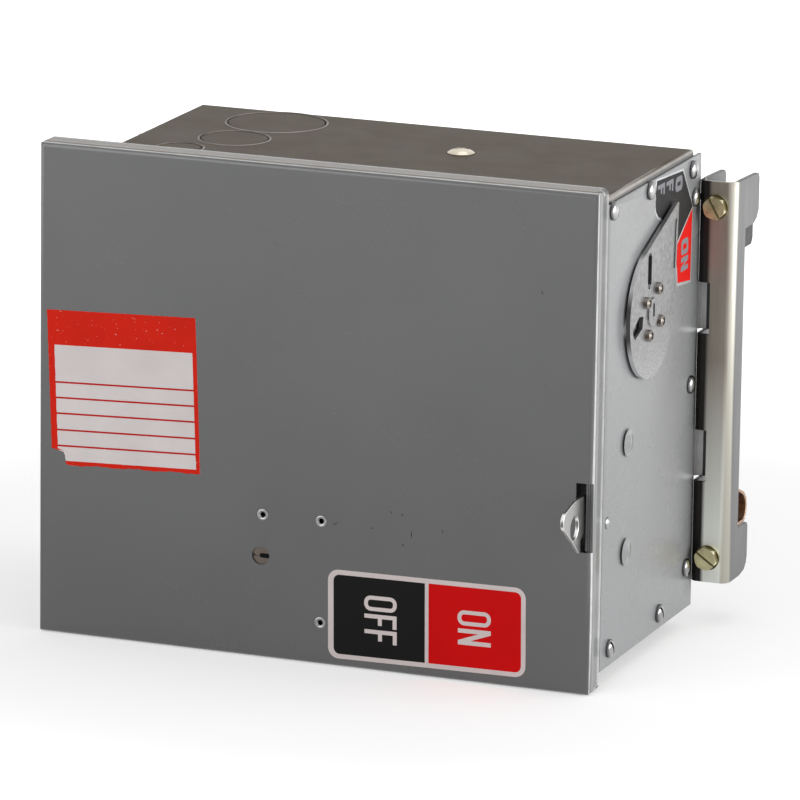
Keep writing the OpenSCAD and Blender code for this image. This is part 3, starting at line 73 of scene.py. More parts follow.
# ---------------------------------------------------------------- materials
class Shader:
    """A Principled material with colour, roughness and bump from noise in the piece's own coordinates."""

    def __init__(self, name, rough=0.4, metal=0.0, spec=0.5):
        self.mat = bpy.data.materials.new(name)
        self.mat.use_nodes = True
        self.tree = self.mat.node_tree
        self.bsdf = self.tree.nodes["Principled BSDF"]
        self.put(self.bsdf, "Roughness", rough)
        self.put(self.bsdf, "Metallic", metal)
        self.put(self.bsdf, "Specular IOR Level", spec)
        self.coords = self.node("ShaderNodeTexCoord")
        self.height = None

    def node(self, kind, **values):
        made = self.tree.nodes.new(kind)
        for key, value in values.items():
            setattr(made, key, value)
        return made

    def put(self, node, socket, value):
        node.inputs[socket].default_value = value

    def link(self, out, node, socket):
        self.tree.links.new(out, node.inputs[socket])

    def noise(self, size, detail=3.0, stretch=(1, 1, 1), rough=0.55, shift=0.0):
        """Noise whose features are about `size` mm across, made longer along an axis by stretch."""
        mapping = self.node("ShaderNodeMapping")
        mapping.inputs["Location"].default_value = (shift, shift * 0.7, -shift)
        mapping.inputs["Scale"].default_value = tuple(1 / s for s in stretch)
        self.link(self.coords.outputs["Object"], mapping, "Vector")
        tex = self.node("ShaderNodeTexNoise")
        self.put(tex, "Scale", 1 / (size * MM))
        self.put(tex, "Detail", detail)
        self.put(tex, "Roughness", rough)
        self.link(mapping.outputs[0], tex, "Vector")
        return tex.outputs["Fac"]

    def spots(self, size, threshold, soft=0.04, shift=0.0, stretch=(1, 1, 1)):
        """1 inside sparse spots, 0 elsewhere."""
        step = self.node("ShaderNodeMapRange")
        step.interpolation_type = "SMOOTHSTEP"
        self.link(self.noise(size, 4.0, stretch, 0.6, shift), step, "Value")
        self.put(step, "From Min", threshold)
        self.put(step, "From Max", threshold + soft)
        return step.outputs[0]

    def ramp(self, fac, *stops):
        """A colour ramp; each stop is (place, colour)."""
        made = self.node("ShaderNodeValToRGB")
        element = made.color_ramp.elements
        while len(element) < len(stops):
            element.new(0.5)
        for slot, (place, color) in zip(element, stops):
            slot.position = place
            slot.color = (*color, 1)
        self.link(fac, made, "Fac")
        return made.outputs["Color"]

    def mix(self, fac, a, b):
        """a where fac is 0, b where it is 1. a and b are sockets or colours."""
        made = self.node("ShaderNodeMix", data_type="RGBA")
        self.link(fac, made, 0)
        for slot, value in ((6, a), (7, b)):
            if isinstance(value, tuple):
                made.inputs[slot].default_value = (*value, 1)
            else:
                self.link(value, made, slot)
        return made.outputs[2]

    def math(self, operation, a, b=None):
        made = self.node("ShaderNodeMath", operation=operation)
        for slot, value in ((0, a), (1, b)):
            if isinstance(value, (int, float)):
                made.inputs[slot].default_value = value
            elif value is not None:
                self.link(value, made, slot)
        return made.outputs[0]

    def span(self, value, low, high, to_low=0.0, to_high=1.0):
        """value mapped from low..high to to_low..to_high, and kept inside."""
        made = self.node("ShaderNodeMapRange")
        self.link(value, made, "Value")
        self.put(made, "From Min", low)
        self.put(made, "From Max", high)
        self.put(made, "To Min", to_low)
        self.put(made, "To Max", to_high)
        return made.outputs[0]

    def along(self, output, axis):
        """One axis of the piece's own coordinates ("Object") or of its own surface's direction ("Normal")."""
        split = self.node("ShaderNodeSeparateXYZ")
        self.link(self.coords.outputs[output], split, "Vector")
        return split.outputs[axis]

    def facing(self, axis, low=0.55, high=0.9):
        """1 where the surface faces along an axis, either way, 0 where it faces across it."""
        return self.span(self.math("ABSOLUTE", self.along("Normal", axis)), low, high)

    def bends(self, low=0.03, high=0.13):
        """1 on bends and rounded edges, 0 on faces square to the axes."""
        most = self.math("ABSOLUTE", self.along("Normal", 0))
        for axis in (1, 2):
            most = self.math("MAXIMUM", most, self.math("ABSOLUTE", self.along("Normal", axis)))
        return self.span(most, 1 - low, 1 - high)

    def color(self, source):
        self.link(source, self.bsdf, "Base Color")

    def rough(self, fac, low, high):
        self.link(self.span(fac, 0.15, 0.85, low, high), self.bsdf, "Roughness")

    def bump(self, fac, depth):
        """A bump `depth` mm high, on top of the ones before it."""
        made = self.node("ShaderNodeBump")
        self.put(made, "Distance", depth * MM)
        self.link(fac, made, "Height")
        if self.height:
            self.link(self.height, made, "Normal")
        self.height = made.outputs[0]
        self.link(self.height, self.bsdf, "Normal")


def tone(color, k):
    """The colour made k times as light."""
    return tuple(min(1.0, c * k) for c in color)


def enamel(name, base, rough=0.24, bend=(0.46, 0.45, 0.45), swing=0.06, spec=0.5, top=None, side=None,
           specks=True):
    """Semi-gloss paint with a painted highlight along its bends, broken up by noise like wear.

    bend = tone of the painted highlight on bends, swing = slow change of the tone, top = tone of a painted warm
    reflection where it faces up, side = tone of what turns away from the front, painted lighter as if lit more
    strongly, specks = whether dark specks and light nicks show."""
    s = Shader(name, rough, spec=spec)
    body = s.ramp(s.noise(90, 3), (0.15, tone(base, 1 - 1.5 * swing)), (0.85, tone(base, 1 + 1.5 * swing)))
    if specks:
        body = s.mix(s.spots(2.2, 0.735, 0.02, 3.1), body, tone(base, 0.72))
        body = s.mix(s.spots(0.9, 0.762, 0.012, 7.7, (1, 1, 5)), body, tone(base, 2.4))
    # painted light: what turns away from the front takes the side tone, lighter as if lit more strongly
    if side:
        turn = s.math("SUBTRACT", 1.0, s.math("ABSOLUTE", s.along("Normal", 1)))
        body = s.mix(s.span(turn, 0.02, 0.34), body, side)
    # painted reflection: where it faces up it takes a warm tone that stands for a warm reflection
    if top:
        painted_top_reflection = s.ramp(s.noise(14, 4, shift=6.0), (0.3, tone(top, 0.9)), (0.7, tone(top, 1.1)))
        body = s.mix(s.span(s.along("Normal", 2), 0.6, 0.95), body, painted_top_reflection)
    # a noise mask that breaks up the painted highlight like wear
    wear_and_highlight = s.span(s.noise(11, 4, shift=5.0), 0.3, 0.62, 0.6, 1.0)
    # painted highlight: with a side tone, a line where the surface has turned partway from the front; without one,
    # all bends
    if side:
        line = s.math("MULTIPLY", s.span(turn, 0.24, 0.36), s.span(turn, 0.62, 0.48))
        wear_and_highlight = s.math("MULTIPLY", wear_and_highlight, line)
    else:
        wear_and_highlight = s.math("MULTIPLY", wear_and_highlight, s.bends())
    s.color(s.mix(wear_and_highlight, body, bend))
    s.rough(s.noise(38, 4, shift=1.3), rough - 0.05, rough + 0.07)
    s.bump(s.noise(1.3, 2, shift=0.4), 0.008)
    s.bump(s.noise(60, 2, shift=2.2), 0.22)
    return s.mat


def plated(name, base, rough, grain=(1, 1, 1), blotch=0.12, metal=1.0, dirt=None, depth=0.02, side=None,
           bend=None, foot=None, pits=0.0, painted_recess_shade=None, painted_shade_band=None):
    """Plated or bare metal with drawn grain and dull blotches.

    side = (axis, tone) of what faces across that axis, painted light and shade, bend = tone of bends and rounded
    edges, foot = (tone, z0, z1) that the colour turns to from z0 down to z1 mm, a painted reflection, pits =
    height of a coarser bump, painted_shade_band = (axis, from, to, tone), a painted shade that what faces the
    front turns to between two distances from the middle, painted_recess_shade = (axis, place, below, tone), a
    painted shade on what lies more than `below` mm behind a place, such as a slot's bottom."""
    s = Shader(name, rough, metal)
    body = s.ramp(s.noise(7, 5, grain), (0.3, tone(base, 1 - blotch)), (0.72, tone(base, 1 + blotch)))
    # painted reflection: the colour turns towards the foot's tone lower down
    if foot:
        color, start, end = foot
        body = s.mix(s.span(s.along("Object", 2), start * MM, end * MM), body, color)
    if dirt:
        body = s.mix(s.spots(5, 0.60, 0.10, 4.2), body, dirt)
    # painted light and shade: what faces across the axis takes the side tone
    if side:
        axis, color = side
        body = s.mix(s.facing(axis), color, body)
    if bend:
        body = s.mix(s.bends(), body, bend)
    # painted shade: a dark band on front-facing faces between two distances from the middle
    if painted_shade_band:
        axis, start, end, color = painted_shade_band
        away = s.math("ABSOLUTE", s.along("Object", axis))
        front = s.span(s.along("Normal", 1), -0.02, -0.2)
        body = s.mix(s.math("MULTIPLY", front, s.span(away, start * MM, end * MM)), body, color)
    # painted shade: what lies deeper than `below` behind the place turns dark
    if painted_recess_shade:
        axis, place, below, color = painted_recess_shade
        fade = 0.2
        away = s.math("ABSOLUTE", s.along("Object", axis))
        step = s.span(away, (abs(place) - below) * MM, (abs(place) - below - fade) * MM)
        body = s.mix(s.math("MULTIPLY", step, s.facing(1)), body, color)
    s.color(body)
    s.rough(s.noise(4, 4, grain, shift=1.9), rough - 0.05, rough + 0.08)
    s.bump(s.noise(0.6, 3, grain, shift=0.8), depth)
    if pits:
        s.bump(s.noise(1.5, 3, shift=3.3), pits)
    return s.mat


def moulded(name, base, rough=0.45, swing=0.1, depth=0.03):
    """Moulded or pressed insulation with a fine skin."""
    s = Shader(name, rough)
    s.color(s.ramp(s.noise(18, 4), (0.3, tone(base, 1 - swing)), (0.7, tone(base, 1 + swing))))
    s.rough(s.noise(9, 3, shift=2.0), rough - 0.06, rough + 0.08)
    s.bump(s.noise(0.7, 2, shift=0.5), depth)
    return s.mat


def cast_metal(name):
    """Die casting, grainy with bright flecks at its lower end and calmer above, with painted shade darkening its
    rim and a painted highlight on its edges.
    """
    calm_from, calm_to = 22, 46
    s = Shader(name, 0.36, 0.9)
    flecked = s.ramp(s.noise(1.0, 6, rough=0.72), (0.30, (0.15, 0.15, 0.153)), (0.50, (0.31, 0.31, 0.315)),
                     (0.66, (0.62, 0.62, 0.63)))
    calm = s.ramp(s.noise(2.2, 5), (0.35, (0.185, 0.185, 0.188)), (0.65, (0.285, 0.285, 0.29)))
    body = s.mix(s.span(s.along("Object", 2), calm_from * MM, calm_to * MM), flecked, calm)
    # painted shade: the rim, which turns away from the face, is dark
    body = s.mix(s.facing(0, 0.3, 0.8), (0.10, 0.10, 0.10), body)
    # painted highlight: bright on bends and rounded edges
    body = s.mix(s.bends(), body, (0.72, 0.72, 0.73))
    s.color(body)
    s.rough(s.noise(0.9, 5, shift=1.1), 0.26, 0.44)
    s.bump(s.noise(0.8, 5, rough=0.6, shift=0.3), 0.03)
    s.bump(s.noise(6, 3, shift=2.6), 0.10)
    return s.mat


def printed(name, base, wear_and_highlight=None, level=0.70, rough=0.50, size=1.2, swing=0.05, spec=0.06):
    """Ink on a foil or paper label, with small flecks where it wears off."""
    s = Shader(name, rough, spec=spec)
    body = s.ramp(s.noise(26, 3), (0.3, tone(base, 1 - swing)), (0.7, tone(base, 1 + swing)))
    if wear_and_highlight:
        body = s.mix(s.spots(size, level, 0.02, 5.0, (1.6, 1, 1)), body, wear_and_highlight)
    s.color(body)
    s.rough(s.noise(12, 3, shift=0.9), rough - 0.06, rough + 0.1)
    s.bump(s.noise(4, 3, shift=1.7), 0.02)
    return s.mat


MATERIALS = {
    # painted light: the cover's sides are lighter as if lit more strongly, its rim's top takes a warm painted
    # reflection, and a bright painted highlight line runs along its bends
    "cover_enamel": enamel("cover_enamel", (0.119, 0.120, 0.121), bend=(0.80, 0.80, 0.80),
                           side=(0.25, 0.253, 0.256), top=(0.19, 0.165, 0.14)),
    # painted reflection: where the body faces up it takes a warm brown tone; its bends, the knockout lips too,
    # take a painted highlight
    "body_enamel": enamel("body_enamel", (0.180, 0.178, 0.175), 0.42, (0.50, 0.47, 0.44), spec=0.06,
                          top=(0.100, 0.076, 0.054)),
    # painted light: the end plates and their dimples wear the cover's grey painted lighter, as if lit more
    # strongly from the side, with a painted highlight on bends
    "lit_plate_enamel": enamel("lit_plate_enamel", (0.262, 0.266, 0.270), 0.26, (0.42, 0.42, 0.42), 0.04,
                           specks=False),
    "lit_dimple_enamel": enamel("lit_dimple_enamel", (0.270, 0.274, 0.278), 0.14, (0.42, 0.42, 0.42), 0.04,
                            specks=False),
    "zinc": plated("zinc", (0.60, 0.60, 0.585), 0.28),
    # painted shade: the heads turn dark where they face away from the plate, a painted dark rim round each
    "head_zinc": plated("head_zinc", (0.40, 0.40, 0.405), 0.15, side=(0, (0.14, 0.14, 0.145)), depth=0.01),
    # painted light and shade: the latch's front-facing edges are dark, its face and other edges light, and its
    # bends a bright painted highlight
    "latch_zinc": plated("latch_zinc", (0.15, 0.15, 0.15), 0.30, side=(1, (0.42, 0.42, 0.41)),
                         bend=(0.85, 0.85, 0.85)),
    "eyelet_zinc": plated("eyelet_zinc", (0.26, 0.26, 0.26), 0.14),
    # painted reflection and shadow: the straps are nearly white for a bright reflection, with a dark painted
    # shadow band on front-facing faces farther out than about 139.5 mm
    "strap_zinc": plated("strap_zinc", (0.93, 0.93, 0.93), 0.35, metal=0.2,
                         painted_shade_band=(0, 139.3, 139.6, (0.04, 0.04, 0.04))),
    "screw_steel": plated("screw_steel", (0.115, 0.096, 0.083), 0.30),
    # black for the cover's scratches, and painted shade for the interlock screw's slot
    "scratch_black_and_slot_shade": printed("scratch_black_and_slot_shade", (0.004, 0.004, 0.004)),
    # painted light and shade on the dial's studs: darker walls and bright bends on the steel, a bright painted
    # highlight on chamfers and centres, and dark painted shade in the grooves
    "stud_steel": plated("stud_steel", (0.20, 0.165, 0.14), 0.30, side=(0, (0.15, 0.125, 0.105)),
                         bend=(0.45, 0.42, 0.39)),
    "stud_groove_shade": plated("stud_groove_shade", (0.05, 0.045, 0.04), 0.35),
    "stud_highlight": plated("stud_highlight", (0.26, 0.235, 0.21), 0.30),
    # painted light on the channels: what faces across the front takes a darker painted reflection, bends a painted
    # highlight, the front-facing bend next to the end plate a dark painted shade, and the lower part a paler
    # painted reflection
    "galvanised": plated("galvanised", (0.31, 0.275, 0.235), 0.44, (1, 1, 9), 0.14, 0.70,
                         side=(1, (0.17, 0.17, 0.172)), bend=(0.50, 0.48, 0.42),
                         painted_shade_band=(0, 144.0, 142.2, (0.02, 0.018, 0.016)), foot=((0.86, 0.88, 0.82), 12, -75)),
    # painted light and shade on the bolts: darker hex flanks, bright bends as a painted highlight, and dark slot
    # bottoms and marks as painted shade; the dirt spots are their own
    "yellow_zinc": plated("yellow_zinc", (0.66, 0.60, 0.35), 0.30, blotch=0.25, metal=0.7,
                          dirt=(0.26, 0.22, 0.11), depth=0.03, side=(1, (0.34, 0.30, 0.15)),
                          bend=(0.80, 0.76, 0.52), pits=0.06,
                          painted_recess_shade=(1, edge("clamp_bolt_right_upper", 1, 0), 0.35, (0.09, 0.075, 0.03))),
    "brass": plated("brass", (0.60, 0.50, 0.34), 0.30),
    # painted shade: the bonding screw's sides turn dark brown while its top stays bright
    "bond_brass": plated("bond_brass", (0.72, 0.65, 0.53), 0.14, depth=0.005, side=(2, (0.18, 0.15, 0.11))),
    "copper": plated("copper", (0.42, 0.25, 0.15), 0.32, blotch=0.25, dirt=(0.18, 0.10, 0.07),
                     bend=(0.60, 0.42, 0.30)),
    "tin": plated("tin", (0.62, 0.63, 0.64), 0.34, (1, 1, 6)),
    "spring": plated("spring", (0.10, 0.10, 0.105), 0.34),
    "jaw_steel": plated("jaw_steel", (0.045, 0.045, 0.047), 0.42, dirt=(0.10, 0.09, 0.075),
                        bend=(0.16, 0.16, 0.16)),
    "cast": cast_metal("cast"),
    "phenolic": moulded("phenolic", (0.035, 0.032, 0.030)),
    "brown_phenolic": moulded("brown_phenolic", (0.12, 0.05, 0.03)),
    "fibre": moulded("fibre", (0.25, 0.08, 0.05), 0.6),
    "fuse_tube": moulded("fuse_tube", (0.62, 0.58, 0.46), 0.5, 0.05),
}

# which nodes of the solids wear each material
DRESS = {
    "cover_enamel": "cover",
    "body_enamel": "body_shell",
    "lit_plate_enamel": "left_end_plate right_end_plate",
    "head_zinc": "end_plate_screws latch_pivot",
    "latch_zinc": "padlock_latch",
    "zinc": "end_plate_rivets cover_hinge_leaves body_hinge_leaves hinge_pins interlock_bracket"
            " interlock_slider operating_shaft drive_crank mechanism_frame base_screws lug_screws stab_screws"
            " strap_rivets",
    "eyelet_zinc": "cover_eyelets",
    "strap_zinc": "hanger_straps",
    "screw_steel": "interlock_screw",
    "stud_steel": "dial_studs",
    "galvanised": "right_channel left_channel",
    "yellow_zinc": "clamp_bolt_right_upper clamp_bolt_right_lower clamp_bolt_left_upper"
                   " clamp_bolt_left_lower",
    "brass": "shaft_bushing",
    "bond_brass": "bonding_screw",
    "copper": "blade_1 blade_2 blade_3 line_jaws blade_hinges upper_fuse_clips lower_fuse_clips line_straps"
              " stab_jaws ground_finger",
    "tin": "load_lugs neutral_bar ground_lug",
    "spring": "snap_spring",
    "jaw_steel": "clamp_jaw_right_upper clamp_jaw_right_lower clamp_jaw_left_upper clamp_jaw_left_lower",
    "cast": "dial",
    "phenolic": "switch_base neutral_block stab_base",
    "brown_phenolic": "crossbar",
    "fibre": "arc_chutes",
    "fuse_tube": "fuse_1 fuse_2 fuse_3",
}
# edge rounding in mm for nodes whose edges show
SOFT_EDGES = {
    "padlock_latch": 0.3, "dial": 0.3, "hanger_straps": 0.3, "ground_finger": 0.25, "interlock_screw": 0.2,
    "clamp_bolt_right_upper": 0.35, "clamp_bolt_right_lower": 0.35,
    "clamp_bolt_left_upper": 0.35, "clamp_bolt_left_lower": 0.35,
    "clamp_jaw_right_upper": 0.5, "clamp_jaw_right_lower": 0.5,
}


def smooth(obj, angle=32):
    """Smooth shading, with edges sharper than angle degrees left sharp."""
    obj.data.polygons.foreach_set("use_smooth", [True] * len(obj.data.polygons))
    obj.data.set_sharp_from_angle(angle=math.radians(angle))


def soften(obj, width):
    """Rounds the piece's sharp edges by width mm, if any, and keeps its flat faces shaded flat."""
    weld = obj.modifiers.new("weld", "WELD")
    weld.merge_threshold = 1e-6
    flats = obj.modifiers.new("flats", "DECIMATE")
    flats.decimate_type = "DISSOLVE"
    flats.angle_limit = math.radians(0.5)
    if width:
        bevel = obj.modifiers.new("bevel", "BEVEL")
        bevel.width = width * MM
        bevel.segments = 2
        bevel.limit_method = "ANGLE"
        bevel.angle_limit = math.radians(40)
    flat = obj.modifiers.new("flat", "WEIGHTED_NORMAL")
    flat.weight = 100
    flat.keep_sharp = not width


for material, names in DRESS.items():
    for name in names.split():
        data = NODES[name].data
        data.materials.clear()
        data.materials.append(MATERIALS[material])
        smooth(NODES[name])
        soften(NODES[name], SOFT_EDGES.get(name, 0))


# ---------------------------------------------------------------- mesh helpers
def show(name, data):
    """A new object in the scene."""
    obj = bpy.data.objects.new(name, data)
    bpy.context.scene.collection.objects.link(obj)
    return obj


def piece(name, body, verts, faces, mats, indices=None):
    """A mesh piece in mm that rides on a body; indices gives each face's material."""
    mesh = bpy.data.meshes.new(name)
    mesh.from_pydata([Vector(v) * MM for v in verts], [], faces)
    for m in mats:
        mesh.materials.append(m)
    if indices:
        mesh.polygons.foreach_set("material_index", indices)
    mesh.update()
    obj = show(name, mesh)
    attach(obj, body)
    return obj


def tidy_normals(obj):
    """Joins doubled points and turns all faces outwards."""
    bm = bmesh.new()
    bm.from_mesh(obj.data)
    bmesh.ops.remove_doubles(bm, verts=bm.verts, dist=1e-7)
    bmesh.ops.recalc_face_normals(bm, faces=bm.faces)
    bm.to_mesh(obj.data)
    bm.free()


def lathe(name, body, centres, axis, profile, mats, steps=40):
    """The same turned shape at each centre, in mm. Axis 0 stands on the right side, 1 on the front, 2 on the top.

    profile = rows of radius, height along the axis, and the material of the strip up to the next row."""
    verts, faces, kinds = [], [], []
    for cx, cy, cz in centres:
        first = len(verts)
        for radius, height, _ in profile:
            for k in range(steps):
                a = 2 * math.pi * k / steps
                c, d = radius * math.cos(a), radius * math.sin(a)
                verts.append(((cx + height, cy + c, cz + d), (cx + c, cy - height, cz + d),
                              (cx + c, cy + d, cz + height))[axis])
        for row, (_, _, kind) in enumerate(profile[:-1]):
            for k in range(steps):
                a, b = first + row * steps + k, first + row * steps + (k + 1) % steps
                faces.append((a, b, b + steps, a + steps))
                kinds.append(kind)
    obj = piece(name, body, verts, faces, mats, kinds)
    tidy_normals(obj)
    smooth(obj, 35)
    return obj


def slabs(name, body, outlines, place, depth, mat):
    """Flat outlines made `depth` mm thick: each is (outer, hole or None) in (u, v), and place(u, v, w) puts it."""
    bm = bmesh.new()
    for outer, hole in outlines:
        count = len(outer)
        if hole:
            rings = [outer, hole]
            low = [[bm.verts.new(Vector(place(u, v, 0)) * MM) for u, v in ring] for ring in rings]
            top = [[bm.verts.new(Vector(place(u, v, depth)) * MM) for u, v in ring] for ring in rings]
            for k in range(count):
                j = (k + 1) % count
                bm.faces.new((top[0][k], top[0][j], top[1][j], top[1][k]))
                bm.faces.new((low[0][j], low[0][k], low[1][k], low[1][j]))
                for ring in (0, 1):
                    bm.faces.new((low[ring][k], low[ring][j], top[ring][j], top[ring][k]))
        else:
            low = [bm.verts.new(Vector(place(u, v, 0)) * MM) for u, v in outer]
            top = [bm.verts.new(Vector(place(u, v, depth)) * MM) for u, v in outer]
            bm.faces.new(top)
            bm.faces.new(low[::-1])
            for k in range(count):
                j = (k + 1) % count
                bm.faces.new((low[k], low[j], top[j], top[k]))
    bmesh.ops.recalc_face_normals(bm, faces=bm.faces)
    mesh = bpy.data.meshes.new(name)
    bm.to_mesh(mesh)
    bm.free()
    mesh.materials.append(mat)
    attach(show(name, mesh), body)


def rounded(u0, v0, u1, v1, radii, steps=8):
    """Counter-clockwise rounded rectangle; radii for the corners (u0,v0), (u1,v0), (u1,v1), (u0,v1)."""
    points = []
    corners = ((u0, v0, 1, 1, 180), (u1, v0, -1, 1, 270), (u1, v1, -1, -1, 0), (u0, v1, 1, -1, 90))
    for (cu, cv, su, sv, a0), r in zip(corners, radii):
        for k in range(steps + 1):
            a = math.radians(a0 + 90 * k / steps)
            points.append((cu + su * r + r * math.cos(a), cv + sv * r + r * math.sin(a)))
    return points


def letter(char, height, width, stroke, bow=0.46):
    """Outlines of an O, F or N in a box of that height and width, lower left corner at 0, 0.

    bow = the O's corner radius as a share of its width."""
    h, w, s = height, width, stroke
    if char == "O":
        r = w * bow
        outer = rounded(0, 0, w, h, [r] * 4)
        inner = rounded(s, s, w - s, h - s, [max(r - s, 0.25)] * 4)
        return [(outer, inner)]
    if char == "F":
        bar, reach = 0.42 * h, 0.82 * w
        return [([(0, 0), (s, 0), (s, bar), (reach, bar), (reach, bar + s), (s, bar + s), (s, h - s),
                  (w, h - s), (w, h), (0, h)], None)]
    # N
    return [([(0, 0), (s, 0), (s, 0.62 * h), (w - s, 0), (w, 0), (w, h), (w - s, h), (w - s, 0.38 * h),
              (s, h), (0, h)], None)]


def turned(outlines, u, v):
    """Letters turned a quarter clockwise, their upper left corner at u, v: up becomes +u, along becomes -v."""
    def move(ring):
        return None if ring is None else [(u + b, v - a) for a, b in ring]
    return [(move(outer), move(hole)) for outer, hole in outlines]


def on_cover(u0, v0, degrees, lift):
    """Place of a label on the cover's face: centre u0, v0, turned counter-clockwise, lifted by lift mm."""
    c, s = math.cos(math.radians(degrees)), math.sin(math.radians(degrees))

    def place(u, v, w):
        return (u0 + u * c - v * s, COVER_FACE - lift - w, v0 + u * s + v * c)
    return place


# ---------------------------------------------------------------- ON/OFF label on the cover
LABEL_PALE = printed("label_pale", (0.70, 0.62, 0.61))
LABEL_BLACK = printed("label_black", (0.010, 0.010, 0.010))
LABEL_RED = printed("label_red", (0.66, 0.004, 0.005), wear_and_highlight=(0.74, 0.06, 0.05), level=0.74)
SWITCH_LABEL_AT = (50.1, -98.9, 0.8)   # centre x and z in mm, turn in degrees
LABEL_SHEET, LABEL_INK = 0.10, 0.04    # thickness in mm


def cover_switch_label():
    """A black and a red field on a pale sheet, with OFF and ON turned a quarter clockwise."""
    sheet = on_cover(*SWITCH_LABEL_AT, 0.0)
    ink = on_cover(*SWITCH_LABEL_AT, LABEL_SHEET)
    text = on_cover(*SWITCH_LABEL_AT, LABEL_SHEET + LABEL_INK)
    corner, square = 3.2, 0.05
    slabs("switch_label", "cover", [(rounded(-52.5, -22.9, 52.5, 22.9, [5.6] * 4), None)], sheet, LABEL_SHEET,
          LABEL_PALE)
    off_field = rounded(-49.5, -20.5, -0.8, 20.4, [corner, square, square, corner])
    slabs("switch_label_off_field", "cover", [(off_field, None)], ink, LABEL_INK, LABEL_BLACK)
    on_field = rounded(1.2, -20.5, 50.1, 20.5, [square, corner, corner, square])
    slabs("switch_label_on_field", "cover", [(on_field, None)], ink, LABEL_INK, LABEL_RED)
    off = turned(letter("O", 17.4, 7.8, 2.0), -33.1, 11.3) + turned(letter("F", 17.2, 6.9, 2.1), -33.0, 1.8) \
        + turned(letter("F", 17.2, 6.9, 2.1), -32.9, -6.2)
    on = turned(letter("O", 17.6, 7.7, 2.0), 16.6, 8.6) + turned(letter("N", 17.4, 8.3, 2.2), 16.8, -0.8)
    slabs("switch_label_words", "cover", off + on, text, LABEL_INK, LABEL_PALE)


# ---------------------------------------------------------------- bare rating label on the cover
PLATE_RED = printed("plate_red", (0.70, 0.020, 0.008), wear_and_highlight=(0.78, 0.52, 0.48), level=0.69, size=1.1)
PLATE_RULE = printed("plate_rule", (0.52, 0.018, 0.016), wear_and_highlight=(0.70, 0.45, 0.42), level=0.72, size=0.9)
PLATE_WHITE = printed("plate_white", (0.74, 0.685, 0.68), wear_and_highlight=(0.50, 0.42, 0.41), level=0.74, size=1.6)


def rating_label():
    """A red and white label without words: header band, ruled panel, torn lower left corner, creased foot."""
    half_w, top, header, foot = 40.4, 41.4, 23.4, -38.4
    left_border, right_border, foot_border = 3.4, 2.3, 2.1
    rules = [4.2, -3.8, -11.9, -20.4, -28.6]
    rule_w = 0.95
    # rows from the top and columns from the left: where each starts, and whether it is red
    rows = [(top, True), (header, False)]
    for r in rules:
        rows += [(r + rule_w / 2, True), (r - rule_w / 2, False)]
    rows += [(foot + foot_border, True), (foot, None)]
    cols = [(-half_w, True), (-half_w + left_border, False), (half_w - right_border, True), (half_w, None)]

    def split(lines, step):
        """The same strips cut into ones at most step mm wide."""
        out = []
        for (a, kind), (b, _) in zip(lines, lines[1:]):
            n = max(1, math.ceil(abs(b - a) / step))
            out += [(a + (b - a) * k / n, kind) for k in range(n)]
        return out + [lines[-1]]

    rows, cols = split(rows, 1.0), split(cols, 1.2)
    tear_v = -30.6

    def left(v):
        """Where the label's left edge stands at height v."""
        if v > tear_v + 0.4:
            return -half_w + 0.08 * math.sin(v * 0.9)
        t = min(1.0, (tear_v + 0.4 - v) / 1.9)
        return -half_w + 0.4 + 6.4 * t ** 0.7 + 0.35 * math.sin(v * 3.1) + (0.9 * (tear_v - v) / 8)

    def crease(u, v):
        """Height of the wrinkles near the foot, in mm."""
        low = max(0.0, min(1.0, (-24 - v) / 8))
        wave = math.sin(0.55 * u + 2.4 * v) + 0.7 * math.sin(0.23 * u - 3.3 * v + 1.2) \
            + 0.5 * math.sin(1.3 * u + 0.8 * v)
        lift = 0.07 * low * (wave + 2.2)
        return max(0.0, lift) + 0.008 * (1 + math.sin(0.4 * u + 0.7 * v))

    place = on_cover(-113.9, 1.4, 2.3, 0.0)
    verts, faces, kinds = [], [], []
    width = len(cols)
    for side in (1, 0):
        for v, _ in rows:
            start = left(v)
            for u, _ in cols:
                t = (u + half_w) / (2 * half_w)
                x = start + (half_w - start) * t
                edge_v = v
                if v == rows[-1][0]:
                    edge_v += 0.25 * math.sin(0.31 * x) + 0.15 * math.sin(1.1 * x)
                verts.append(place(x, edge_v, (LABEL_SHEET + crease(x, v)) if side else 0.0))
    per_side = len(rows) * width
    for r in range(len(rows) - 1):
        for c in range(width - 1):
            a = r * width + c
            faces.append((a, a + 1, a + width + 1, a + width))
            faces.append((a + per_side, a + width + per_side, a + width + 1 + per_side, a + 1 + per_side))
            torn = rows[r][0] < tear_v
            border = cols[c][1] and not (torn and cols[c][0] < 0)
            row_red = rows[r][1]
            is_rule = row_red and foot + foot_border < rows[r][0] < header
            kind = 0 if border or (row_red and not is_rule) else 1 if is_rule else 2
            kinds += [kind, 2]
    # the points round the label, to close its thin edge
    last = (len(rows) - 1) * width
    loop = list(range(width)) + [r * width + width - 1 for r in range(1, len(rows))] \
        + list(range(last + width - 2, last - 1, -1)) + [r * width for r in range(len(rows) - 2, 0, -1)]
    for k, a in enumerate(loop):
        b = loop[(k + 1) % len(loop)]
        faces.append((a, a + per_side, b + per_side, b))
        kinds.append(2)
    obj = piece("rating_label", "cover", verts, faces, [PLATE_RED, PLATE_RULE, PLATE_WHITE], kinds)
    tidy_normals(obj)
    smooth(obj, 40)


# ---------------------------------------------------------------- dial label on the end plate
FOIL = plated("label_foil", (0.52, 0.53, 0.54), 0.42, metal=0.6, depth=0.004)
DIAL_BLACK = printed("dial_black", (0.012, 0.011, 0.012), rough=0.6, spec=0.2)
DIAL_RED = printed("dial_red", (0.70, 0.014, 0.010))
DIAL_WORDS = printed("dial_words", (0.24, 0.24, 0.26))
DIAL_AXIS = (-92.0, 53.0)


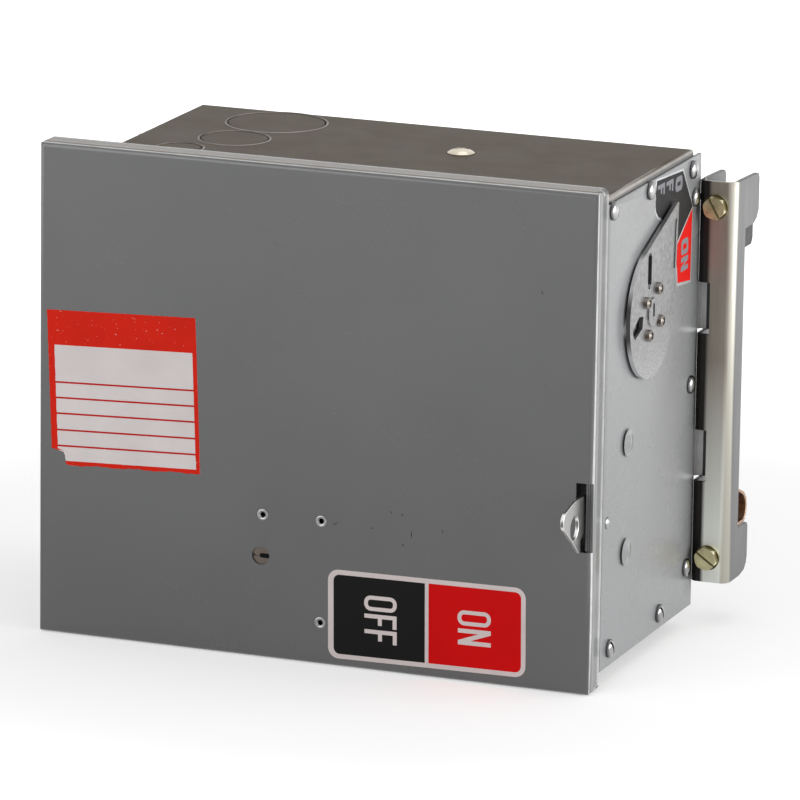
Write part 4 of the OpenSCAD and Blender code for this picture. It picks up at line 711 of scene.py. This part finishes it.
def arc(radius, a0, a1, count):
    """Points round the dial's axis; angles in degrees from upright towards the back."""
    points = []
    for k in range(count + 1):
        a = math.radians(a0 + (a1 - a0) * k / count)
        points.append((DIAL_AXIS[0] + radius * math.sin(a), DIAL_AXIS[1] + radius * math.cos(a)))
    return points


def dial_label():
    """A foil label with a black OFF and a red ON field round the dial, torn along its rear top."""
    foil, ink = 0.06, 0.03

    def at(lift):
        return lambda u, v, w: (PLATE_FACE + lift + w, u, v)

    tear = [(-80.9, 99.9), (-81.9, 101.6), (-81.2, 103.4), (-82.3, 105.5), (-81.6, 108.0), (-82.4, 110.5),
            (-81.8, 117.6)]
    outer = arc(46.2, 84, 17, 16) + tear + [(-39.4, 115.3), (-23.0, 93.2), (-23.9, 53.6), (-45.9, 55.9)]
    slabs("dial_label", "box", [(outer, None)], at(0.0), foil, FOIL)
    black_tear = [(-80.3, 101.0), (-81.0, 103.6), (-81.6, 105.7), (-81.0, 108.2), (-81.5, 110.6),
                  (-80.4, 112.2), (-80.0, 116.6)]
    black = arc(47.4, 60.2, 18.6, 12) + black_tear + [(-40.2, 114.2), (-24.1, 93.0)]
    slabs("dial_label_off_field", "box", [(black, None)], at(foil), ink, DIAL_BLACK)
    red = arc(47.4, 62, 84.6, 8) + [(-25.1, 55.0), (-24.2, 91.8)]
    slabs("dial_label_on_field", "box", [(red, None)], at(foil), ink, DIAL_RED)
    off = turned(letter("O", 10.6, 7.6, 2.8, 0.36), -51.4, 112.6) \
        + turned(letter("F", 10.6, 6.2, 2.1), -65.4, 113.2) + turned(letter("F", 10.6, 6.0, 2.1), -78.4, 113.8)
    on = turned(letter("O", 10.8, 8.0, 2.6, 0.28), -40.2, 78.4) \
        + turned(letter("N", 10.8, 7.2, 2.5), -40.0, 69.2)
    slabs("dial_label_words", "box", off + on, at(foil + ink), ink, DIAL_WORDS)


# ---------------------------------------------------------------- small pressed and turned details
def folded_channel(node, side):
    """The channel with its inner bend drawn up to the end plate's rear edge; side is 1 right and -1 left.

    What lies nearer the middle than inner moves in by pull, and the bend before fold gets tighter by radius."""
    inner, fold, radius, pull = 142.0, -10.0, 1.0, 0.4
    source = NODES[node].data
    verts = []
    for vert in source.vertices:
        x, y, z = vert.co / MM
        x *= side
        if x < inner and y < fold:
            away = Vector((x - inner, y - fold))
            away = away.normalized() * (away.length - radius)
            x, y = inner - pull - radius + away.x, fold - radius + away.y
        elif x < inner:
            x -= pull
        verts.append((x * side, y, z))
    faces = [tuple(p.vertices) for p in source.polygons]
    obj = piece(node + "_folded", "box", verts, faces, [MATERIALS["galvanised"]])
    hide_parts(node)
    smooth(obj)
    soften(obj, 0)


def one_material(*rows):
    """A profile for lathe whose strips all have the first material."""
    return [(radius, height, 0) for radius, height in rows]


def plate_dimples():
    """Two pressed dimples in the right end plate, the lower one over the plate's own."""
    side, y, upper_z, lower_z = edge("right_end_plate", 0, 1), -116.6, -8.5, -64.5
    dome = one_material((0, -0.1), (7.0, -0.1), (7.0, 0.0), (6.0, 0.06), (5.0, 0.2), (4.0, 0.45), (3.0, 0.8),
                        (2.0, 1.1), (1.0, 1.28), (0, 1.33))
    lathe("plate_dimples", "box", [(side, y, upper_z), (side, y, lower_z)], 0, dome,
          [MATERIALS["lit_dimple_enamel"]])


def knockout_lips():
    """Pressed lips round the three conduit knockouts in the top."""
    # how far out from the knockout's radius, and how high
    lip = ((0.35, -0.1), (0.45, 0.22), (0.75, 0.34), (1.1, 0.22), (1.35, -0.1), (0.35, -0.1))
    for name, (x, y), radius in (("large", (-80.8, -45.9), 25.2), ("medium", (-85.4, -91.3), 17.4),
                                 ("small", (-101.5, -123.6), 11.1)):
        section = one_material(*((radius + out, height) for out, height in lip))
        lathe("knockout_lip_" + name, "box", [(x, y, TOP_FACE)], 2, section, [MATERIALS["body_enamel"]], 64)


def rolled_eyelets():
    """Rolled eyelets in the cover, where the solids have plain ones."""
    radius, y = 3.1, COVER_FACE
    x0, x1 = edge("cover_eyelets", 0, 0) + radius, edge("cover_eyelets", 0, 1) - radius
    z0, z1 = edge("cover_eyelets", 2, 0) + radius, edge("cover_eyelets", 2, 1) - radius
    roll = one_material((radius, 0), (3.05, 0.28), (2.8, 0.5), (2.45, 0.6), (1.9, 0.5), (1.4, 0.25),
                        (1.15, -0.2), (1.1, -2.2), (1.1, -4.5), (2.15, -4.5), (2.15, 0), (radius, 0))
    obj = lathe("rolled_eyelets", "cover", [(x0, y, z1), (x1, y, z1), (x1, y, z0)], 1, roll,
                [MATERIALS["eyelet_zinc"]], 32)
    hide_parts("cover_eyelets")


def interlock_slot_shade():
    """The interlock screw's wide slot as painted shade: a thin black sheet on its head."""
    face = edge("interlock_screw", 1, 0)
    x = (edge("interlock_screw", 0, 0) + edge("interlock_screw", 0, 1)) / 2
    z = (edge("interlock_screw", 2, 0) + edge("interlock_screw", 2, 1)) / 2
    slot = rounded(-2.3, -1.2, 4.3, 1.2, [1.1, 0.1, 0.1, 1.1])
    slabs("interlock_slot_shade", "interlock_screw", [(slot, None)], on_cover(x, z, 0, COVER_FACE - face), 0.03,
          MATERIALS["scratch_black_and_slot_shade"])


def slot_sheet_edges():
    """Three folded sheet edges seen behind the cover's face in the latch's slot."""
    top, bottom, width, behind = -18.8, -53.8, 0.9, 2.6
    bars = [(rounded(x, bottom, x + width, top, [0.1] * 4, 1), None) for x in (132.1, 133.2, 134.3)]
    slabs("slot_sheet_edges", "cover", bars, lambda u, v, w: (u, COVER_FACE + behind - w, v), 0.4,
          MATERIALS["cover_enamel"])


def cover_scratches():
    """Scratches in the cover's paint: centre x and z, length, and lean in radians."""
    scratches = ((0.9, -53.2, 4.0, 0.5), (20.4, -53.4, 2.0, 0.6), (30.6, -44.2, 1.6, 2.4),
                 (36.5, -44.9, 1.3, 2.6), (41.5, -54.4, 5.0, 1.5), (37.1, -60.2, 1.2, 1.2),
                 (57.9, -51.0, 2.2, 1.5), (108.0, 75.0, 3.0, 1.9))
    marks = []
    for x, z, length, lean in scratches:
        c, d = math.cos(lean) * length / 2, math.sin(lean) * length / 2
        w = 0.22 if length > 1.5 else 0.4
        marks.append(([(x - c, z - d), (x + w * math.sin(lean), z - w * math.cos(lean)), (x + c, z + d),
                       (x - w * math.sin(lean), z + w * math.cos(lean))], None))
    slabs("cover_scratches", "cover", marks, lambda u, v, w: (u, COVER_FACE - w, v), 0.02,
          MATERIALS["scratch_black_and_slot_shade"])


def dial_stud_heads():
    """The dial's four riveted studs, each a ring, a groove darkened as painted shade and a centre lightened as a
    painted highlight.
    """
    low, high = edge("dial_studs", 0, 0), edge("dial_studs", 0, 1)
    height, reach, first = high - low, 12.6, 32
    # bright is the painted highlight on chamfer and centre, dark the painted shade in the groove
    steel, bright, dark = 0, 1, 2
    stud = [(0, 0, steel), (3.0, 0, steel), (3.0, height - 0.55, bright), (2.45, height, steel),
            (2.0, height, dark), (1.85, height - 0.35, dark), (0.95, height - 0.35, bright),
            (0.7, height - 0.15, bright), (0.35, height - 0.08, bright), (0, height - 0.06, bright)]
    centres = []
    for k in range(4):
        a = math.radians(first + 90 * k)
        centres.append((low, DIAL_AXIS[0] + reach * math.sin(a), DIAL_AXIS[1] + reach * math.cos(a)))
    obj = lathe("dial_stud_heads", "rotor", centres, 0, stud,
                [MATERIALS["stud_steel"], MATERIALS["stud_highlight"], MATERIALS["stud_groove_shade"]], 28)
    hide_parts("dial_studs")


cover_switch_label()
rating_label()
dial_label()
folded_channel("right_channel", 1)
folded_channel("left_channel", -1)
plate_dimples()
knockout_lips()
rolled_eyelets()
interlock_slot_shade()
slot_sheet_edges()
cover_scratches()
dial_stud_heads()


# ---------------------------------------------------------------- stage, light and camera
# the floor glows from GLOW_NEAR at GLOW_FROM metres from its middle to GLOW_FAR, which is white, at GLOW_TO
GLOW_FROM, GLOW_TO = 0.3, 1.0
GLOW_NEAR, GLOW_FAR = 0.42, 1.0
FLOOR_SIZE, FLOOR_GAP = 14, 0.0002
# strength of the world as a light; seen directly or in a reflection it is white
SKY_LIGHT = 0.42


def stage_plane(name, size, matrix, mat):
    """A square on the stage, size metres each way from its middle."""
    bm = bmesh.new()
    bmesh.ops.create_grid(bm, x_segments=1, y_segments=1, size=size)
    mesh = bpy.data.meshes.new(name)
    bm.to_mesh(mesh)
    bm.free()
    mesh.materials.append(mat)
    obj = show(name, mesh)
    obj.matrix_world = matrix


def seen(tree):
    """1 for camera, glossy and transmission rays, 0 for the rest."""
    path = tree.nodes.new("ShaderNodeLightPath")
    total = path.outputs["Is Camera Ray"]
    for other in ("Is Glossy Ray", "Is Transmission Ray"):
        add = tree.nodes.new("ShaderNodeMath")
        add.operation = "MAXIMUM"
        tree.links.new(total, add.inputs[0])
        tree.links.new(path.outputs[other], add.inputs[1])
        total = add.outputs[0]
    return total


def floor_material():
    """A pale matte floor that turns white away from the object and keeps its shadow."""
    mat = bpy.data.materials.new("floor")
    mat.use_nodes = True
    tree = mat.node_tree
    tree.nodes.clear()
    out = tree.nodes.new("ShaderNodeOutputMaterial")
    matte = tree.nodes.new("ShaderNodeBsdfDiffuse")
    matte.inputs["Color"].default_value = (0.86, 0.86, 0.86, 1)
    glow = tree.nodes.new("ShaderNodeEmission")
    coords = tree.nodes.new("ShaderNodeTexCoord")
    reach = tree.nodes.new("ShaderNodeVectorMath")
    reach.operation = "LENGTH"
    tree.links.new(coords.outputs["Object"], reach.inputs[0])
    level = tree.nodes.new("ShaderNodeMapRange")
    level.inputs["From Min"].default_value = GLOW_FROM
    level.inputs["From Max"].default_value = GLOW_TO
    level.inputs["To Min"].default_value = GLOW_NEAR
    level.inputs["To Max"].default_value = GLOW_FAR
    tree.links.new(reach.outputs["Value"], level.inputs["Value"])
    gain = tree.nodes.new("ShaderNodeMath")
    gain.operation = "MULTIPLY"
    tree.links.new(level.outputs[0], gain.inputs[1])
    tree.links.new(seen(tree), gain.inputs[0])
    tree.links.new(gain.outputs[0], glow.inputs["Strength"])
    add = tree.nodes.new("ShaderNodeAddShader")
    tree.links.new(matte.outputs[0], add.inputs[0])
    tree.links.new(glow.outputs[0], add.inputs[1])
    tree.links.new(add.outputs[0], out.inputs["Surface"])
    return mat


stage_plane("floor", FLOOR_SIZE, Matrix.Translation((0, 0, FLOOR_Z - FLOOR_GAP)), floor_material())

world = bpy.data.worlds.new("studio")
bpy.context.scene.world = world
world.use_nodes = True
sky = world.node_tree
back = sky.nodes["Background"]
back.inputs["Color"].default_value = (1, 1, 1, 1)
level = sky.nodes.new("ShaderNodeMapRange")
level.inputs["To Min"].default_value = SKY_LIGHT
level.inputs["To Max"].default_value = 1.0
sky.links.new(seen(sky), level.inputs["Value"])
sky.links.new(level.outputs[0], back.inputs["Strength"])


def area_light(name, place, target, size, watts):
    """A white lamp at a place, in metres, that faces the target."""
    data = bpy.data.lights.new(name, "AREA")
    data.shape = "RECTANGLE"
    data.size, data.size_y = size
    data.energy = watts
    obj = show(name, data)
    obj.location = place
    obj.rotation_euler = (Vector(target) - Vector(place)).to_track_quat("-Z", "Y").to_euler()


area_light("side", (2.3, 0.2, 0.38), (0.1, -0.05, 0), (2.6, 0.9), 38)
area_light("fill", (-1.4, -2.3, 0.5), (0, -0.1, 0), (2.0, 0.9), 21)
area_light("top", (0.2, 0.3, 2.2), (0, -0.08, 0), (1.6, 1.6), 5)

# camera at the photograph's angle: place in metres, angles in degrees, lens and sensor in mm
CAMERA_PLACE = (1.2724, -3.3952, 0.8639)
YAW, TILT, ROLL = 20.97, 13.81, 0.83
LENS, SENSOR = 324.9, 36

yaw, tilt, roll = math.radians(YAW), math.radians(TILT), math.radians(ROLL)
forward = Vector((-math.sin(yaw) * math.cos(tilt), math.cos(yaw) * math.cos(tilt), -math.sin(tilt)))
right = Vector((math.cos(yaw), math.sin(yaw), 0))
up = right.cross(forward)
cam_x = right * math.cos(roll) + up * math.sin(roll)
cam_y = up * math.cos(roll) - right * math.sin(roll)
camera_data = bpy.data.cameras.new("camera")
camera_data.sensor_width = SENSOR
camera_data.lens = LENS
camera_data.clip_end = 60
camera = show("camera", camera_data)
turn = Matrix((cam_x, cam_y, -forward)).transposed().to_4x4()
camera.matrix_world = Matrix.Translation(CAMERA_PLACE) @ turn
bpy.context.scene.camera = camera
bpy.context.scene.view_settings.view_transform = "Standard"
